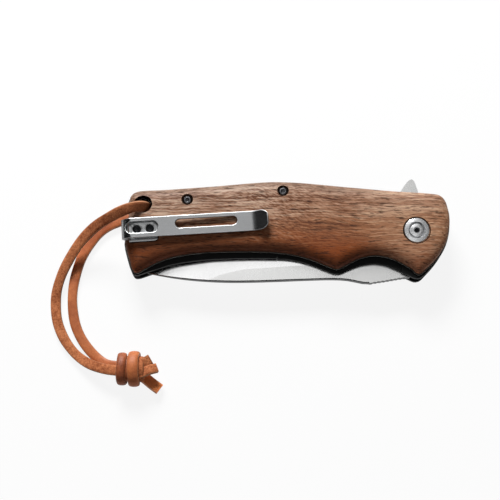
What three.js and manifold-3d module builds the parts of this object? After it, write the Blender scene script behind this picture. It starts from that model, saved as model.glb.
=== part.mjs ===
// Folding pocket knife with walnut scales, a flipper, a liner lock, a folded steel pocket clip and a
// knotted leather lanyard, closed and lying on its show side. Millimetres, +Z up.
// The origin is on the pivot axis in the plane that the knife lies on. +X runs towards the pivot end of
// the handle, +Y towards its spine, and the closed blade points along -X.
import * as THREE from 'three';
import { mergeVertices } from 'three/addons/utils/BufferGeometryUtils.js';
import Module from 'manifold-3d';

const wasm = await Module();
wasm.setup();

// Thicknesses of the layers, from the table up
const WOOD_THICKNESS = 4.2;
const BACKING_THICKNESS = 0.4;
const LINER_THICKNESS = 1.4;
const WASHER_THICKNESS = 0.4;
const BLADE_THICKNESS = 3.0;

// Heights where the layers meet, each worked out from the one below
const Z_SHOW_BACKING = WOOD_THICKNESS;
const Z_SHOW_LINER = Z_SHOW_BACKING + BACKING_THICKNESS;
const Z_SHOW_WASHER = Z_SHOW_LINER + LINER_THICKNESS;
const Z_BLADE = Z_SHOW_WASHER + WASHER_THICKNESS;
const Z_CLIP_WASHER = Z_BLADE + BLADE_THICKNESS;
const Z_CLIP_LINER = Z_CLIP_WASHER + WASHER_THICKNESS;
const Z_CLIP_BACKING = Z_CLIP_LINER + LINER_THICKNESS;
const Z_CLIP_WOOD = Z_CLIP_BACKING + BACKING_THICKNESS;
const Z_TOP = Z_CLIP_WOOD + WOOD_THICKNESS;

// Clearances
const RUNNING_GAP = 0.15;
const FIT_GAP = 0.3;
const SCREW_GAP = 0.2;

// Handle outline, clockwise from the butt's upper corner: x and y of the liner's edge, then how far the
// liner stands proud of the backing sheet and how wide a ledge the sheet shows outside the wood.
const OUTLINE = [
  [-107.6, 12.1, 0.1, 0.25], [-106.8, 13.95, 0.1, 0.2], [-105.5, 15.3, 0.1, 0.15],
  [-103.4, 16.05, 0.1, 0.15], [-100.5, 16.35, 0.1, 0.15], [-95.0, 16.6, 0.1, 0.15],
  [-75.0, 18.05, 0.1, 0.15], [-55.0, 19.75, 0.1, 0.15], [-45.0, 19.6, 0.1, 0.15],
  [-35.0, 18.8, 0.1, 0.15], [-10.0, 16.3, 0.1, 0.15], [1.7, 15.6, 0.1, 0.15],
  [7.25, 15.05, 0.1, 0.15], [9.0, 14.7, 0.1, 0.15], [10.5, 13.75, 0.1, 0.2],
  [11.55, 12.2, 0.1, 0.2], [12.45, 9.65, 0.1, 0.2], [12.9, 6.3, 0.1, 0.2],
  [12.9, 2.6, 0.1, 0.25], [12.2, -1.7, 0.1, 0.3], [10.4, -6.5, 0.2, 0.35],
  [7.4, -11.0, 0.35, 0.4], [3.8, -15.0, 0.65, 0.45], [1.7, -16.95, 0.9, 0.5],
  [-0.3, -17.35, 1.3, 0.55], [-2.8, -16.3, 2.2, 0.4], [-6.2, -14.7, 2.7, 0.4],
  [-10.4, -12.6, 2.7, 0.4], [-15.4, -11.65, 2.7, 0.4], [-20.4, -12.2, 2.2, 0.4],
  [-25.0, -13.9, 1.6, 0.4], [-28.0, -15.3, 1.4, 0.4], [-30.0, -15.55, 1.3, 0.4],
  [-33.4, -14.4, 1.3, 0.4], [-39.0, -12.1, 1.4, 0.4], [-46.0, -10.2, 1.5, 0.4],
  [-55.0, -9.6, 2.0, 0.4], [-73.0, -9.85, 2.3, 0.4], [-82.0, -10.55, 2.4, 0.4],
  [-90.5, -11.9, 2.2, 0.4], [-96.0, -13.6, 1.85, 0.4], [-100.5, -15.1, 1.0, 0.4],
  [-103.0, -15.95, 0.4, 0.4], [-104.8, -15.95, 0.35, 0.35], [-106.0, -14.3, 0.3, 0.35],
  [-107.3, -10.4, 0.3, 0.35], [-108.7, -4.3, 0.2, 0.35], [-108.0, 1.5, 0.15, 0.35],
  [-107.45, 6.5, 0.15, 0.25],
];
const OUTLINE_STEPS = 3;
const SPACER_INSET = 0.25;

// Contour of the walnut scales: a flat middle, a slow crown beside it and a rounded rim
const FLAT_HALF_WIDTH = 4.5;
const CROWN_RADIUS = 60;
const RIM_WIDTH = 4.6;
const RIM_DROP = 2.3;
const LEAST_WOOD = 1.2;
const RIM_ROWS = [-1.2, 0.02, 0.4, 1.3, 2.7, 4.8];
const BUTT_RISE = 2.9;
const BUTT_RISE_START = -93.5;
const BUTT_RISE_END = -104.3;

// Pivot
const PIVOT_RADIUS = 2.4;
const PIVOT_HEAD_RADIUS = 4.7;
const PIVOT_EDGE = 0.4;
const PIVOT_SCREW_HEAD_RADIUS = 2.75;
const PIVOT_SCREW_HEAD_HEIGHT = 2.0;
const PIVOT_SCREW_RADIUS = 1.25;
const PIVOT_SCREW_LENGTH = 8.5;
const PIVOT_DOME = 0.15;
const PIVOT_RECESS_RADIUS = 0.95;
const PIVOT_RECESS_DEPTH = 1.2;
const WASHER_RADIUS = 5.6;
const COLLAR_FLOOR = 1.6;

// Stop pin, which both shoulders of the tang rest on
const STOP_PIN_RADIUS = 1.5;
const STOP_PIN_TENON = 0.9;
const STOP_PIN_ANGLE = THREE.MathUtils.degToRad(88);
const STOP_GAP = 0.2;
const TANG_RADIUS = 7.8;
const TRACK_GAP = 0.35;
const STOP_PIN_TRACK = TANG_RADIUS + TRACK_GAP + STOP_PIN_RADIUS;

// Blade, in its closed place: spine, cutting edge and grind line, each from the tip to the tang
const BLADE_SPINE = [
  [-100.2, -14.75], [-95.5, -15.6], [-89.6, -16.55], [-83.6, -17.25], [-77.6, -17.7], [-70.0, -18.0],
  [-61.0, -17.95], [-50.0, -17.6], [-40.0, -17.2], [-31.5, -17.0], [-26.0, -17.25], [-22.0, -18.0],
  [-18.4, -18.7], [-17.0, -18.6],
];
const BLADE_EDGE = [
  [-100.2, -14.75], [-97.6, -10.4], [-92.6, -4.4], [-85.0, 1.2], [-75.0, 4.9], [-62.0, 6.8],
  [-46.0, 7.3], [-30.0, 7.1], [-17.0, 6.9],
];
const GRIND_LINE = [
  [-100.2, -24.6], [-90.0, -21.8], [-82.0, -19.3], [-77.0, -17.6], [-72.5, -15.3], [-66.0, -13.7],
  [-57.0, -12.7], [-46.0, -11.9], [-30.0, -11.0], [-17.0, -10.3],
];
const TANG_START = -17.0;
const PLUNGE_LENGTH = 4.0;
const EDGE_HALF_THICKNESS = 0.22;
const EDGE_BEVEL = 0.7;
const SPINE_CHAMFER = 0.3;
const BLADE_STATIONS = 37;
const TANG_SPINE = [[-14.6, -18.2], [-11.6, -17.75], [-8.6, -17.2], [-5.6, -16.65]];
const SHOULDER_DEPTH = 16.4;
const LOCK_FACE_X = 6.0;
const LOCK_FACE_LOW = 0.7;
const FLIPPER_NOTCH = 12.2;
const FLIPPER_FRONT = [[-0.6, 14.0], [1.4, 15.6], [1.75, 17.2], [1.15, 19.2], [0.5, 21.1]];
const FLIPPER_PEAK = [-0.35, 21.85];
const FLIPPER_BACK = [[-1.7, 21.2], [-3.4, 19.1], [-5.0, 16.6], [-7.6, 12.6], [-11.0, 9.2], [-14.2, 7.4]];
const JIMPING = { first: -15.6, pitch: 1.55, count: 8, radius: 0.75, depth: 0.35 };

// Lock bar, a tongue of the clip-side liner
const LOCK_END_X = -6.2;
const LOCK_TOP_Y = -1.0;
const LOCK_ROOT_X = -51.5;
const LOCK_SLIT = 0.6;
const LOCK_ROOT_HOLE = 1.7;
const LOCK_LIFT_ROOM = 0.4;
const DETENT = { x: -9.2, y: -4.6, radius: 0.65, ride: 0.02, hole: 0.45, depth: 0.4 };

// Back spacer: its front end, and its inner edge from there round the butt
const SPACER_INNER = [
  [-45.5, 12.4], [-50.0, 11.7], [-60.0, 11.4], [-74.0, 10.3], [-86.0, 8.4], [-94.0, 6.0], [-99.2, 1.6],
  [-101.6, -4.0], [-102.6, -10.0], [-103.0, -14.6],
];
const SPACER_FRONT_X = -44.5;

// Body screws and lanyard hole
const BODY_SCREWS = { front: [-49.5, 15.45], rear: [-85.3, 12.0] };
const BODY_SCREW_RADIUS = 1.0;
const BODY_HEAD_RADIUS = 1.55;
const BODY_HEAD_HEIGHT = 1.6;
const BODY_SCREW_LENGTH = 5.0;
const COUNTERBORE_ROOM = 0.65;
const COUNTERBORE_FLOOR = 1.6;
const DRIVE_RADIUS = 0.7;
const DRIVE_DEPTH = 0.8;
const LANYARD_HOLE = [-102.0, 10.25];

// Pocket clip, in a frame of its own that starts at the butt and runs along the clip
const CLIP_PLACE = [-107.9, -0.05];
const CLIP_TURN = THREE.MathUtils.degToRad(4);
const CLIP_THICKNESS = 1.1;
const CLIP_WIDTH = 7.6;
const CLIP_PLATE_WIDTH = 8.8;
const CLIP_PLATE_START = 1.15;
const CLIP_PLATE_END = 11.9;
const CLIP_PLATE_CORNER = 1.4;
const CLIP_POCKET_DEPTH = 0.8;
const CLIP_FOLD_GAP = 1.5;
const CLIP_FOLD_CENTRE = 0.3;
const CLIP_LEG_END = CLIP_PLATE_START - FIT_GAP;
const CLIP_TOUCH = 47.8;
const CLIP_TOUCH_GAP = 0.3;
const CLIP_LIP_LENGTH = 5.4;
const CLIP_TIP = CLIP_TOUCH + CLIP_LIP_LENGTH;
const CLIP_LIP_RISE = 2.3;
const CLIP_TIP_CORNER = 3.3;
const CLIP_WINDOW = { start: 0.2, end: 12.1, offset: 0.1, halfWidth: 2.2 };
const CLIP_SLOT = { start: 18.5, end: 41.4, offset: 0.6, halfWidth: 1.7 };
const CLIP_SCREWS = { front: 8.9, rear: 4.1 };
const CLIP_SCREW_RADIUS = 0.8;
const CLIP_HEAD_RADIUS = 1.5;
const CLIP_HEAD_HEIGHT = 0.7;
const CLIP_HEAD_SUNK = 0.45;
const CLIP_SCREW_REACH = 0.3;

// Lace of the lanyard, a flat leather strip
const LACE_WIDTH = 3.6;
const LACE_THICKNESS = 2.0;
const LACE_ROOM = 1.4;
const LACE_CORNER = 0.45;
const LACE_STEPS = 40;
const LACE_SETTLING = 0.12;
const LANYARD_HOLE_RADIUS = LACE_WIDTH / 2 + LACE_ROOM;

// Way of each strand, from its end in the hole to the knot
const OUTER_STRAND = [
  [-101.1, 9.6, 9.4], [-101.1, 9.6, 11.6], [-101.75, 9.4, 14.6], [-103.9, 8.75, 17.1], [-107.0, 7.75, 17.95],
  [-110.3, 6.75, 17.1], [-114.7, 5.3, 14.1], [-118.65, 3.45, 11.5], [-122.15, 1.15, 9.2],
  [-125.9, -2.45, 7.2], [-129.05, -6.75, 5.4], [-132.7, -13.45, 3.4], [-134.7, -19.7, 1.9],
  [-135.05, -24.5, 1.25], [-134.4, -30.5, 1.15], [-132.8, -35.3, 1.15], [-130.25, -39.9, 1.15],
  [-126.35, -44.45, 1.3], [-121.6, -47.8, 2.5], [-117.2, -49.6, 4.0], [-114.0, -50.4, 4.9],
  [-111.8, -50.8, 5.3],
];
const INNER_STRAND = [
  [-101.1, 9.6, 9.0], [-101.1, 9.6, 7.0], [-101.6, 9.55, 3.7], [-103.3, 9.4, 1.95], [-106.0, 8.95, 1.3],
  [-109.0, 8.3, 1.2], [-112.1, 7.3, 1.15], [-116.25, 5.5, 1.15], [-119.9, 2.7, 1.15], [-123.3, -1.65, 1.15],
  [-125.65, -6.2, 1.15], [-127.4, -11.5, 1.15], [-128.6, -17.6, 1.15], [-128.85, -23.0, 1.15],
  [-128.4, -28.0, 1.15], [-127.3, -32.9, 1.15], [-125.1, -37.8, 1.15], [-121.9, -42.3, 1.15],
  [-118.5, -45.6, 1.15], [-115.2, -47.75, 1.7], [-111.8, -48.6, 2.7],
];

// Knot, as half widths and places along X of its two bands, and its loose ends
const KNOT_CENTRE = [0, -50.2, 4.85];
const KNOT_FLATNESS = 0.72;
const KNOT_PROFILE = [
  [0, -111.3], [3.4, -111.35], [5.0, -111.0], [5.8, -110.2], [5.95, -109.3], [5.7, -108.2], [4.7, -107.45],
  [4.7, -107.05], [6.1, -106.4], [6.6, -104.8], [6.3, -103.2], [5.0, -102.3], [3.2, -101.6], [0, -101.3],
];
const KNOT_ENDS = [
  [[-105.0, -48.6, 6.0], [-101.8, -47.2, 6.4], [-98.8, -46.1, 5.9]],
  [[-105.5, -53.6, 5.4], [-101.2, -52.5, 6.3], [-97.6, -50.8, 5.9], [-96.3, -50.2, 4.9]],
  [[-105.0, -49.4, 2.8], [-101.4, -51.8, 2.3], [-98.2, -54.6, 1.7], [-95.3, -57.8, 1.4]],
];

const WALNUT = new THREE.MeshStandardMaterial({ color: 0x7d5238, roughness: 0.55, metalness: 0 });
const SATIN_EDGE = new THREE.MeshStandardMaterial({ color: 0x9a958e, roughness: 0.4, metalness: 0.9 });
const BLACK_COAT = new THREE.MeshStandardMaterial({ color: 0x1c1d1f, roughness: 0.55, metalness: 0.4 });
const BLADE_STEEL = new THREE.MeshStandardMaterial({ color: 0xd6d6d6, roughness: 0.4, metalness: 0.9 });
const BRIGHT_STEEL = new THREE.MeshStandardMaterial({ color: 0xcdd0d2, roughness: 0.25, metalness: 1 });
const CLIP_STEEL = new THREE.MeshStandardMaterial({ color: 0xa9abac, roughness: 0.35, metalness: 0.9 });
const DARK_STEEL = new THREE.MeshStandardMaterial({ color: 0x3a3b3d, roughness: 0.45, metalness: 0.8 });
const BRONZE = new THREE.MeshStandardMaterial({ color: 0xa9793f, roughness: 0.45, metalness: 0.8 });
const LEATHER = new THREE.MeshStandardMaterial({ color: 0xb8652f, roughness: 0.75, metalness: 0 });

const knife = new THREE.Group();

// Turns a closed three.js geometry into a solid that can be joined and cut
function solid(geometry) {
  const bare = geometry.index ? geometry.clone() : geometry;
  for (const name of Object.keys(bare.attributes)) {
    if (name !== 'position') bare.deleteAttribute(name);
  }
  const merged = mergeVertices(bare, 1e-4);
  return new wasm.Manifold(new wasm.Mesh({
    numProp: 3,
    vertProperties: new Float32Array(merged.attributes.position.array),
    triVerts: new Uint32Array(merged.index.array),
  }));
}

// Turns a solid back into a geometry
function geometryOf(body) {
  const mesh = body.getMesh();
  const geometry = new THREE.BufferGeometry();
  const places = new Float32Array(mesh.numVert * 3);
  for (let i = 0; i < mesh.numVert; i += 1) {
    for (let axis = 0; axis < 3; axis += 1) {
      places[3 * i + axis] = mesh.vertProperties[mesh.numProp * i + axis];
    }
  }
  geometry.setAttribute('position', new THREE.BufferAttribute(places, 3));
  geometry.setIndex(Array.from(mesh.triVerts));
  geometry.computeVertexNormals();
  return geometry;
}

// Adds a named piece to the knife, or to a group inside it
function addPiece(name, shape, material, parent = knife) {
  const geometry = shape instanceof THREE.BufferGeometry ? shape : geometryOf(shape);
  const piece = new THREE.Mesh(geometry, material);
  piece.name = name;
  parent.add(piece);
  return piece;
}

// A flat shape made a solid between two exact heights
function prism(shape, low, high, curveSegments = 12) {
  const geometry = new THREE.ExtrudeGeometry(shape, { depth: 1, bevelEnabled: false, curveSegments });
  const place = geometry.attributes.position;
  for (let i = 0; i < place.count; i += 1) place.setZ(i, place.getZ(i) < 0.5 ? low : high);
  return solid(geometry);
}

function discShape(x, y, radius) {
  return new THREE.Shape().absarc(x, y, radius, 0, 2 * Math.PI);
}

// A round cutter or pin along Z
function rod(x, y, radius, low, high, sides = 20) {
  return prism(discShape(x, y, radius), low, high, sides / 2);
}

// A slot-ended strip shape along the first axis of its frame
function slotShape({ start, end, offset, halfWidth }) {
  const shape = new THREE.Shape();
  shape.absarc(start + halfWidth, offset, halfWidth, Math.PI / 2, 1.5 * Math.PI, false);
  shape.absarc(end - halfWidth, offset, halfWidth, -Math.PI / 2, Math.PI / 2, false);
  return shape;
}

// A revolved piece from [radius, height] pairs that start and end on the axis
function turned(profile, segments = 32) {
  const points = profile.map(([radius, height]) => new THREE.Vector2(radius, height));
  const geometry = new THREE.LatheGeometry(points, segments);
  geometry.rotateX(Math.PI / 2);
  return solid(geometry);
}

// A smooth line through points that are given as pairs
function smoothLine(pairs, samples) {
  const curve = new THREE.CatmullRomCurve3(
    pairs.map(([x, y]) => new THREE.Vector3(x, y, 0)), false, 'centripetal');
  return curve.getPoints(samples).map((p) => new THREE.Vector2(p.x, p.y));
}

// Value of a line y(x) at x, for a line whose x only grows or only falls
function heightAt(line, x) {
  const rising = line[line.length - 1].x > line[0].x;
  const ordered = rising ? line : [...line].reverse();
  if (x <= ordered[0].x) return ordered[0].y;
  for (let i = 1; i < ordered.length; i += 1) {
    if (x <= ordered[i].x) {
      const share = (x - ordered[i - 1].x) / (ordered[i].x - ordered[i - 1].x);
      return THREE.MathUtils.lerp(ordered[i - 1].y, ordered[i].y, share);
    }
  }
  return ordered[ordered.length - 1].y;
}

// Handle outline moved inwards at each of its points by a distance that depends on the point
function outlinePoints(insetOf) {
  const count = OUTLINE.length;
  const moved = OUTLINE.map((entry, i) => {
    const before = OUTLINE[(i + count - 1) % count];
    const after = OUTLINE[(i + 1) % count];
    const along = new THREE.Vector2(after[0] - before[0], after[1] - before[1]).normalize();
    const inset = insetOf(entry);
    return new THREE.Vector3(entry[0] + along.y * inset, entry[1] - along.x * inset, 0);
  });
  const curve = new THREE.CatmullRomCurve3(moved, true, 'centripetal');
  return curve.getPoints(count * OUTLINE_STEPS).slice(0, -1).map((p) => new THREE.Vector2(p.x, p.y));
}

const linerOutline = outlinePoints(() => 0);
const spacerOutline = outlinePoints(() => SPACER_INSET);
const backingOutline = outlinePoints(([, , proud]) => proud);
const woodOutline = outlinePoints(([, , proud, ledge]) => proud + ledge);

const linerShape = new THREE.Shape(linerOutline);
const backingShape = new THREE.Shape(backingOutline);
const woodShape = new THREE.Shape(woodOutline);

// Distance from a point to the wood's outline
function distanceToWoodEdge(x, y) {
  let least = Infinity;
  for (let i = 0; i < woodOutline.length; i += 1) {
    const a = woodOutline[i];
    const b = woodOutline[(i + 1) % woodOutline.length];
    const dx = b.x - a.x;
    const dy = b.y - a.y;
    const along = ((x - a.x) * dx + (y - a.y) * dy) / (dx * dx + dy * dy);
    const share = THREE.MathUtils.clamp(along, 0, 1);
    least = Math.min(least, Math.hypot(x - a.x - share * dx, y - a.y - share * dy));
  }
  return least;
}

// Lowest and highest y of the wood's outline at x
function woodSpan(x) {
  let low = Infinity;
  let high = -Infinity;
  for (let i = 0; i < woodOutline.length; i += 1) {
    const a = woodOutline[i];
    const b = woodOutline[(i + 1) % woodOutline.length];
    if ((a.x - x) * (b.x - x) <= 0 && a.x !== b.x) {
      const y = THREE.MathUtils.lerp(a.y, b.y, (x - a.x) / (b.x - a.x));
      low = Math.min(low, y);
      high = Math.max(high, y);
    }
  }
  return [low, high];
}

// How far the scale's face lies below its highest plane at a point
function faceDrop(x, y, middle, inside, rise) {
  const beside = Math.max(0, Math.abs(y - middle) - FLAT_HALF_WIDTH);
  const crown = (beside * beside) / (2 * CROWN_RADIUS);
  const fromEdge = inside ? Math.min(distanceToWoodEdge(x, y), RIM_WIDTH) : 0;
  const share = 1 - fromEdge / RIM_WIDTH;
  const rim = RIM_DROP * (1 - Math.sqrt(1 - share * share));
  const climb = THREE.MathUtils.smoothstep(BUTT_RISE_START - x, 0, BUTT_RISE_START - BUTT_RISE_END);
  const drop = Math.max(crown + rim, rise * climb);
  return Math.min(drop, WOOD_THICKNESS - LEAST_WOOD);
}

// The block whose upper face is the scale's contoured face, in rows that follow the outline. Heights
// are measured from the scale's inner face, and the outline cuts the block to size afterwards.
function contouredBlock(rise) {
  const xs = woodOutline.map((p) => p.x);
  const left = Math.min(...xs);
  const right = Math.max(...xs);
  const middle = (left + right) / 2;
  const half = (right - left) / 2;
  const stations = 46;
  const columns = [left - 1];
  for (let i = 0; i <= stations; i += 1) {
    const even = (2 * i) / stations - 1;
    const eased = 0.55 * even + 0.45 * Math.sin((Math.PI / 2) * even);
    columns.push(middle + (half - 0.01) * eased);
  }
  columns.push(right + 1);
  const rows = 2 * RIM_ROWS.length + 3;
  const places = [];
  for (const x of columns) {
    const [low, high] = woodSpan(THREE.MathUtils.clamp(x, left + 0.01, right - 0.01));
    const centre = (low + high) / 2;
    const reach = (high - low) / 2;
    for (let row = 0; row < rows; row += 1) {
      let y;
      if (row < RIM_ROWS.length) y = low + Math.min(RIM_ROWS[row], reach * (row / rows) * 2);
      else if (row >= rows - RIM_ROWS.length) {
        const mirrored = rows - 1 - row;
        y = high - Math.min(RIM_ROWS[mirrored], reach * (mirrored / rows) * 2);
      } else {
        const inner = reach - Math.min(RIM_ROWS[RIM_ROWS.length - 1], 0.7 * reach);
        y = centre + inner * ((row - RIM_ROWS.length - 1) / 2);
      }
      const inside = y > low && y < high && x > left && x < right;
      places.push([x, y, WOOD_THICKNESS - faceDrop(x, y, centre, inside, rise)]);
    }
  }
  return heightBlock(places, columns.length, rows);
}

// A closed block over a grid of [x, y, height] places, with a flat underside below zero
function heightBlock(places, columns, rows) {
  const floor = -1;
  const vertices = places.flatMap(([x, y, z]) => [x, y, z]).concat(places.flatMap(([x, y]) => [x, y, floor]));
  const under = columns * rows;
  const index = [];
  const quad = (a, b, c, d) => index.push(a, b, c, a, c, d);
  for (let i = 0; i + 1 < columns; i += 1) {
    for (let j = 0; j + 1 < rows; j += 1) {
      const a = i * rows + j;
      const b = a + rows;
      quad(a, b, b + 1, a + 1);
      quad(under + a, under + a + 1, under + b + 1, under + b);
    }
    const first = i * rows;
    const last = first + rows - 1;
    quad(under + first, under + first + rows, first + rows, first);
    quad(last, last + rows, under + last + rows, under + last);
  }
  for (let j = 0; j + 1 < rows; j += 1) {
    const end = (columns - 1) * rows + j;
    quad(j, j + 1, under + j + 1, under + j);
    quad(end + 1, end, under + end, under + end + 1);
  }
  const geometry = new THREE.BufferGeometry();
  geometry.setAttribute('position', new THREE.Float32BufferAttribute(vertices, 3));
  geometry.setIndex(index);
  return solid(geometry);
}

// A walnut scale lying on its inner face, with everything cut that passes through it
function scaleBlank(rise) {
  let body = prism(woodShape, 0, WOOD_THICKNESS + 1).intersect(contouredBlock(rise));
  const over = WOOD_THICKNESS + 1;
  body = body.subtract(rod(0, 0, PIVOT_HEAD_RADIUS + FIT_GAP, -1, over, 32));
  for (const [x, y] of Object.values(BODY_SCREWS)) {
    body = body.subtract(rod(x, y, BODY_SCREW_RADIUS + FIT_GAP, -1, over));
    body = body.subtract(rod(x, y, BODY_HEAD_RADIUS + COUNTERBORE_ROOM, COUNTERBORE_FLOOR, over));
  }
  return body.subtract(rod(LANYARD_HOLE[0], LANYARD_HOLE[1], LANYARD_HOLE_RADIUS, -1, over));
}

// Puts a solid of the clip's own frame into the knife's frame
function inClipPlace(body) {
  return body.rotate([0, 0, THREE.MathUtils.radToDeg(CLIP_TURN)])
    .translate([CLIP_PLACE[0], CLIP_PLACE[1], 0]);
}

function clipPoint(along) {
  return [CLIP_PLACE[0] + along * Math.cos(CLIP_TURN), CLIP_PLACE[1] + along * Math.sin(CLIP_TURN)];
}

// The shape of the clip's plate in the clip's frame, grown on all sides by a margin
function clipPlateShape(margin, start) {
  const side = CLIP_PLATE_WIDTH / 2 + margin;
  const end = CLIP_PLATE_END + margin;
  const corner = CLIP_PLATE_CORNER + margin;
  const shape = new THREE.Shape();
  shape.moveTo(start, -side);
  shape.lineTo(end - corner, -side);
  shape.absarc(end - corner, -side + corner, corner, -Math.PI / 2, 0, false);
  shape.absarc(end - corner, side - corner, corner, 0, Math.PI / 2, false);
  shape.lineTo(start, side);
  return shape;
}

const Z_CLIP_FLOOR = Z_TOP - CLIP_POCKET_DEPTH;
const Z_CLIP_PLATE_TOP = Z_CLIP_FLOOR + CLIP_THICKNESS;

// Scales, backing sheets and liners
function buildScales() {
  const clipHoles = Object.values(CLIP_SCREWS).map(clipPoint);
  let clipSide = scaleBlank(0).translate([0, 0, Z_CLIP_WOOD]);
  const pocket = prism(clipPlateShape(FIT_GAP, -4), Z_CLIP_FLOOR, Z_TOP + 1);
  clipSide = clipSide.subtract(inClipPlace(pocket));
  const foldRoom = new THREE.Shape([
    new THREE.Vector2(-4, -CLIP_PLATE_WIDTH), new THREE.Vector2(CLIP_LEG_END + FIT_GAP / 2, -CLIP_PLATE_WIDTH),
    new THREE.Vector2(CLIP_LEG_END + FIT_GAP / 2, CLIP_PLATE_WIDTH), new THREE.Vector2(-4, CLIP_PLATE_WIDTH),
  ]);
  clipSide = clipSide.subtract(inClipPlace(prism(foldRoom, Z_CLIP_FLOOR - FIT_GAP, Z_TOP + 1)));
  for (const [x, y] of clipHoles) {
    clipSide = clipSide.subtract(rod(x, y, CLIP_SCREW_RADIUS + SCREW_GAP, Z_CLIP_WOOD - 1, Z_TOP + 1));
  }
  addPiece('clip_side_scale', clipSide, WALNUT);

  const showSide = scaleBlank(BUTT_RISE).mirror([0, 0, 1]).translate([0, 0, WOOD_THICKNESS]);
  addPiece('show_side_scale', showSide, WALNUT);
}

// A flat layer with the holes for the pivot, the body screws and the lanyard
function layer(shape, low, high, pivotHole, screwHole) {
  let body = prism(shape, low, high);
  body = body.subtract(rod(0, 0, pivotHole, low - 1, high + 1, 32));
  for (const [x, y] of Object.values(BODY_SCREWS)) body = body.subtract(rod(x, y, screwHole, low - 1, high + 1));
  return body.subtract(rod(LANYARD_HOLE[0], LANYARD_HOLE[1], LANYARD_HOLE_RADIUS, low - 1, high + 1));
}

function withClipHoles(body, low, high) {
  return Object.values(CLIP_SCREWS).map(clipPoint)
    .reduce((rest, [x, y]) => rest.subtract(rod(x, y, CLIP_SCREW_RADIUS + SCREW_GAP, low - 1, high + 1)), body);
}

function buildBackings() {
  const screwHole = BODY_SCREW_RADIUS + FIT_GAP;
  const headHole = PIVOT_HEAD_RADIUS + FIT_GAP;
  const show = layer(backingShape, Z_SHOW_BACKING, Z_SHOW_LINER, headHole, screwHole);
  addPiece('show_side_backing', show, SATIN_EDGE);
  const clip = layer(backingShape, Z_CLIP_BACKING, Z_CLIP_WOOD, headHole, screwHole);
  addPiece('clip_side_backing', withClipHoles(clip, Z_CLIP_BACKING, Z_CLIP_WOOD), SATIN_EDGE);
}

// The stop pin's centre, and the lock bar's plan, which both liners take into account
const stopPin = [STOP_PIN_TRACK * Math.cos(STOP_PIN_ANGLE), STOP_PIN_TRACK * Math.sin(STOP_PIN_ANGLE)];

function lockBarShape(margin, rootMargin) {
  const below = Math.min(...linerOutline.map((p) => p.y)) - FIT_GAP;
  return new THREE.Shape([
    new THREE.Vector2(LOCK_ROOT_X - rootMargin, LOCK_TOP_Y + margin),
    new THREE.Vector2(LOCK_ROOT_X - rootMargin, below),
    new THREE.Vector2(LOCK_END_X + margin, below),
    new THREE.Vector2(LOCK_END_X + margin, LOCK_TOP_Y + margin),
  ]);
}

function buildLiners() {
  const boreRadius = PIVOT_RADIUS + RUNNING_GAP;
  const screwHole = BODY_SCREW_RADIUS + FIT_GAP;
  const tenonHole = STOP_PIN_TENON + SCREW_GAP;
  const show = layer(linerShape, Z_SHOW_LINER, Z_SHOW_WASHER, boreRadius, screwHole)
    .subtract(rod(stopPin[0], stopPin[1], tenonHole, Z_SHOW_LINER - 1, Z_SHOW_WASHER + 1));
  addPiece('show_side_liner', show, BLACK_COAT);

  let clip = layer(linerShape, Z_CLIP_LINER, Z_CLIP_BACKING, boreRadius, screwHole)
    .subtract(rod(stopPin[0], stopPin[1], tenonHole, Z_CLIP_LINER - 1, Z_CLIP_BACKING + 1));
  clip = clip.subtract(prism(lockBarShape(LOCK_SLIT, FIT_GAP), Z_CLIP_LINER - 1, Z_CLIP_BACKING + 1));
  const rootHole = rod(LOCK_ROOT_X, LOCK_TOP_Y, LOCK_ROOT_HOLE, Z_CLIP_LINER - 1, Z_CLIP_BACKING + 1);
  clip = clip.subtract(rootHole);
  addPiece('clip_side_liner', withClipHoles(clip, Z_CLIP_LINER, Z_CLIP_BACKING), BLACK_COAT);

  const barTop = Z_CLIP_BACKING - LOCK_LIFT_ROOM;
  let bar = prism(linerShape, Z_CLIP_LINER, barTop)
    .intersect(prism(lockBarShape(0, 0), Z_CLIP_LINER - 1, barTop + 1));
  bar = bar.subtract(rootHole);
  const ballHole = DETENT.radius + SCREW_GAP;
  bar = bar.subtract(rod(DETENT.x, DETENT.y, ballHole, Z_CLIP_LINER - 1, barTop + 1));
  addPiece('lock_bar', bar, BLACK_COAT);

  const ball = new THREE.SphereGeometry(DETENT.radius, 12, 8);
  ball.translate(DETENT.x, DETENT.y, Z_CLIP_WASHER + DETENT.ride + DETENT.radius);
  addPiece('detent_ball', solid(ball), BRIGHT_STEEL);
}

// Half thickness of the ground blade at a point: flat up to the grind line, then falling evenly to the
// edge, and back to full thickness over the plunge beside the tang
function halfThickness(x, y, grind, edge) {
  const full = BLADE_THICKNESS / 2;
  const share = THREE.MathUtils.clamp((y - grind) / (edge - grind), 0, 1);
  const ground = THREE.MathUtils.lerp(full, EDGE_HALF_THICKNESS, share);
  const plunge = THREE.MathUtils.smoothstep(x, TANG_START - PLUNGE_LENGTH, TANG_START - 0.3);
  return THREE.MathUtils.lerp(ground, full, plunge);
}

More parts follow.
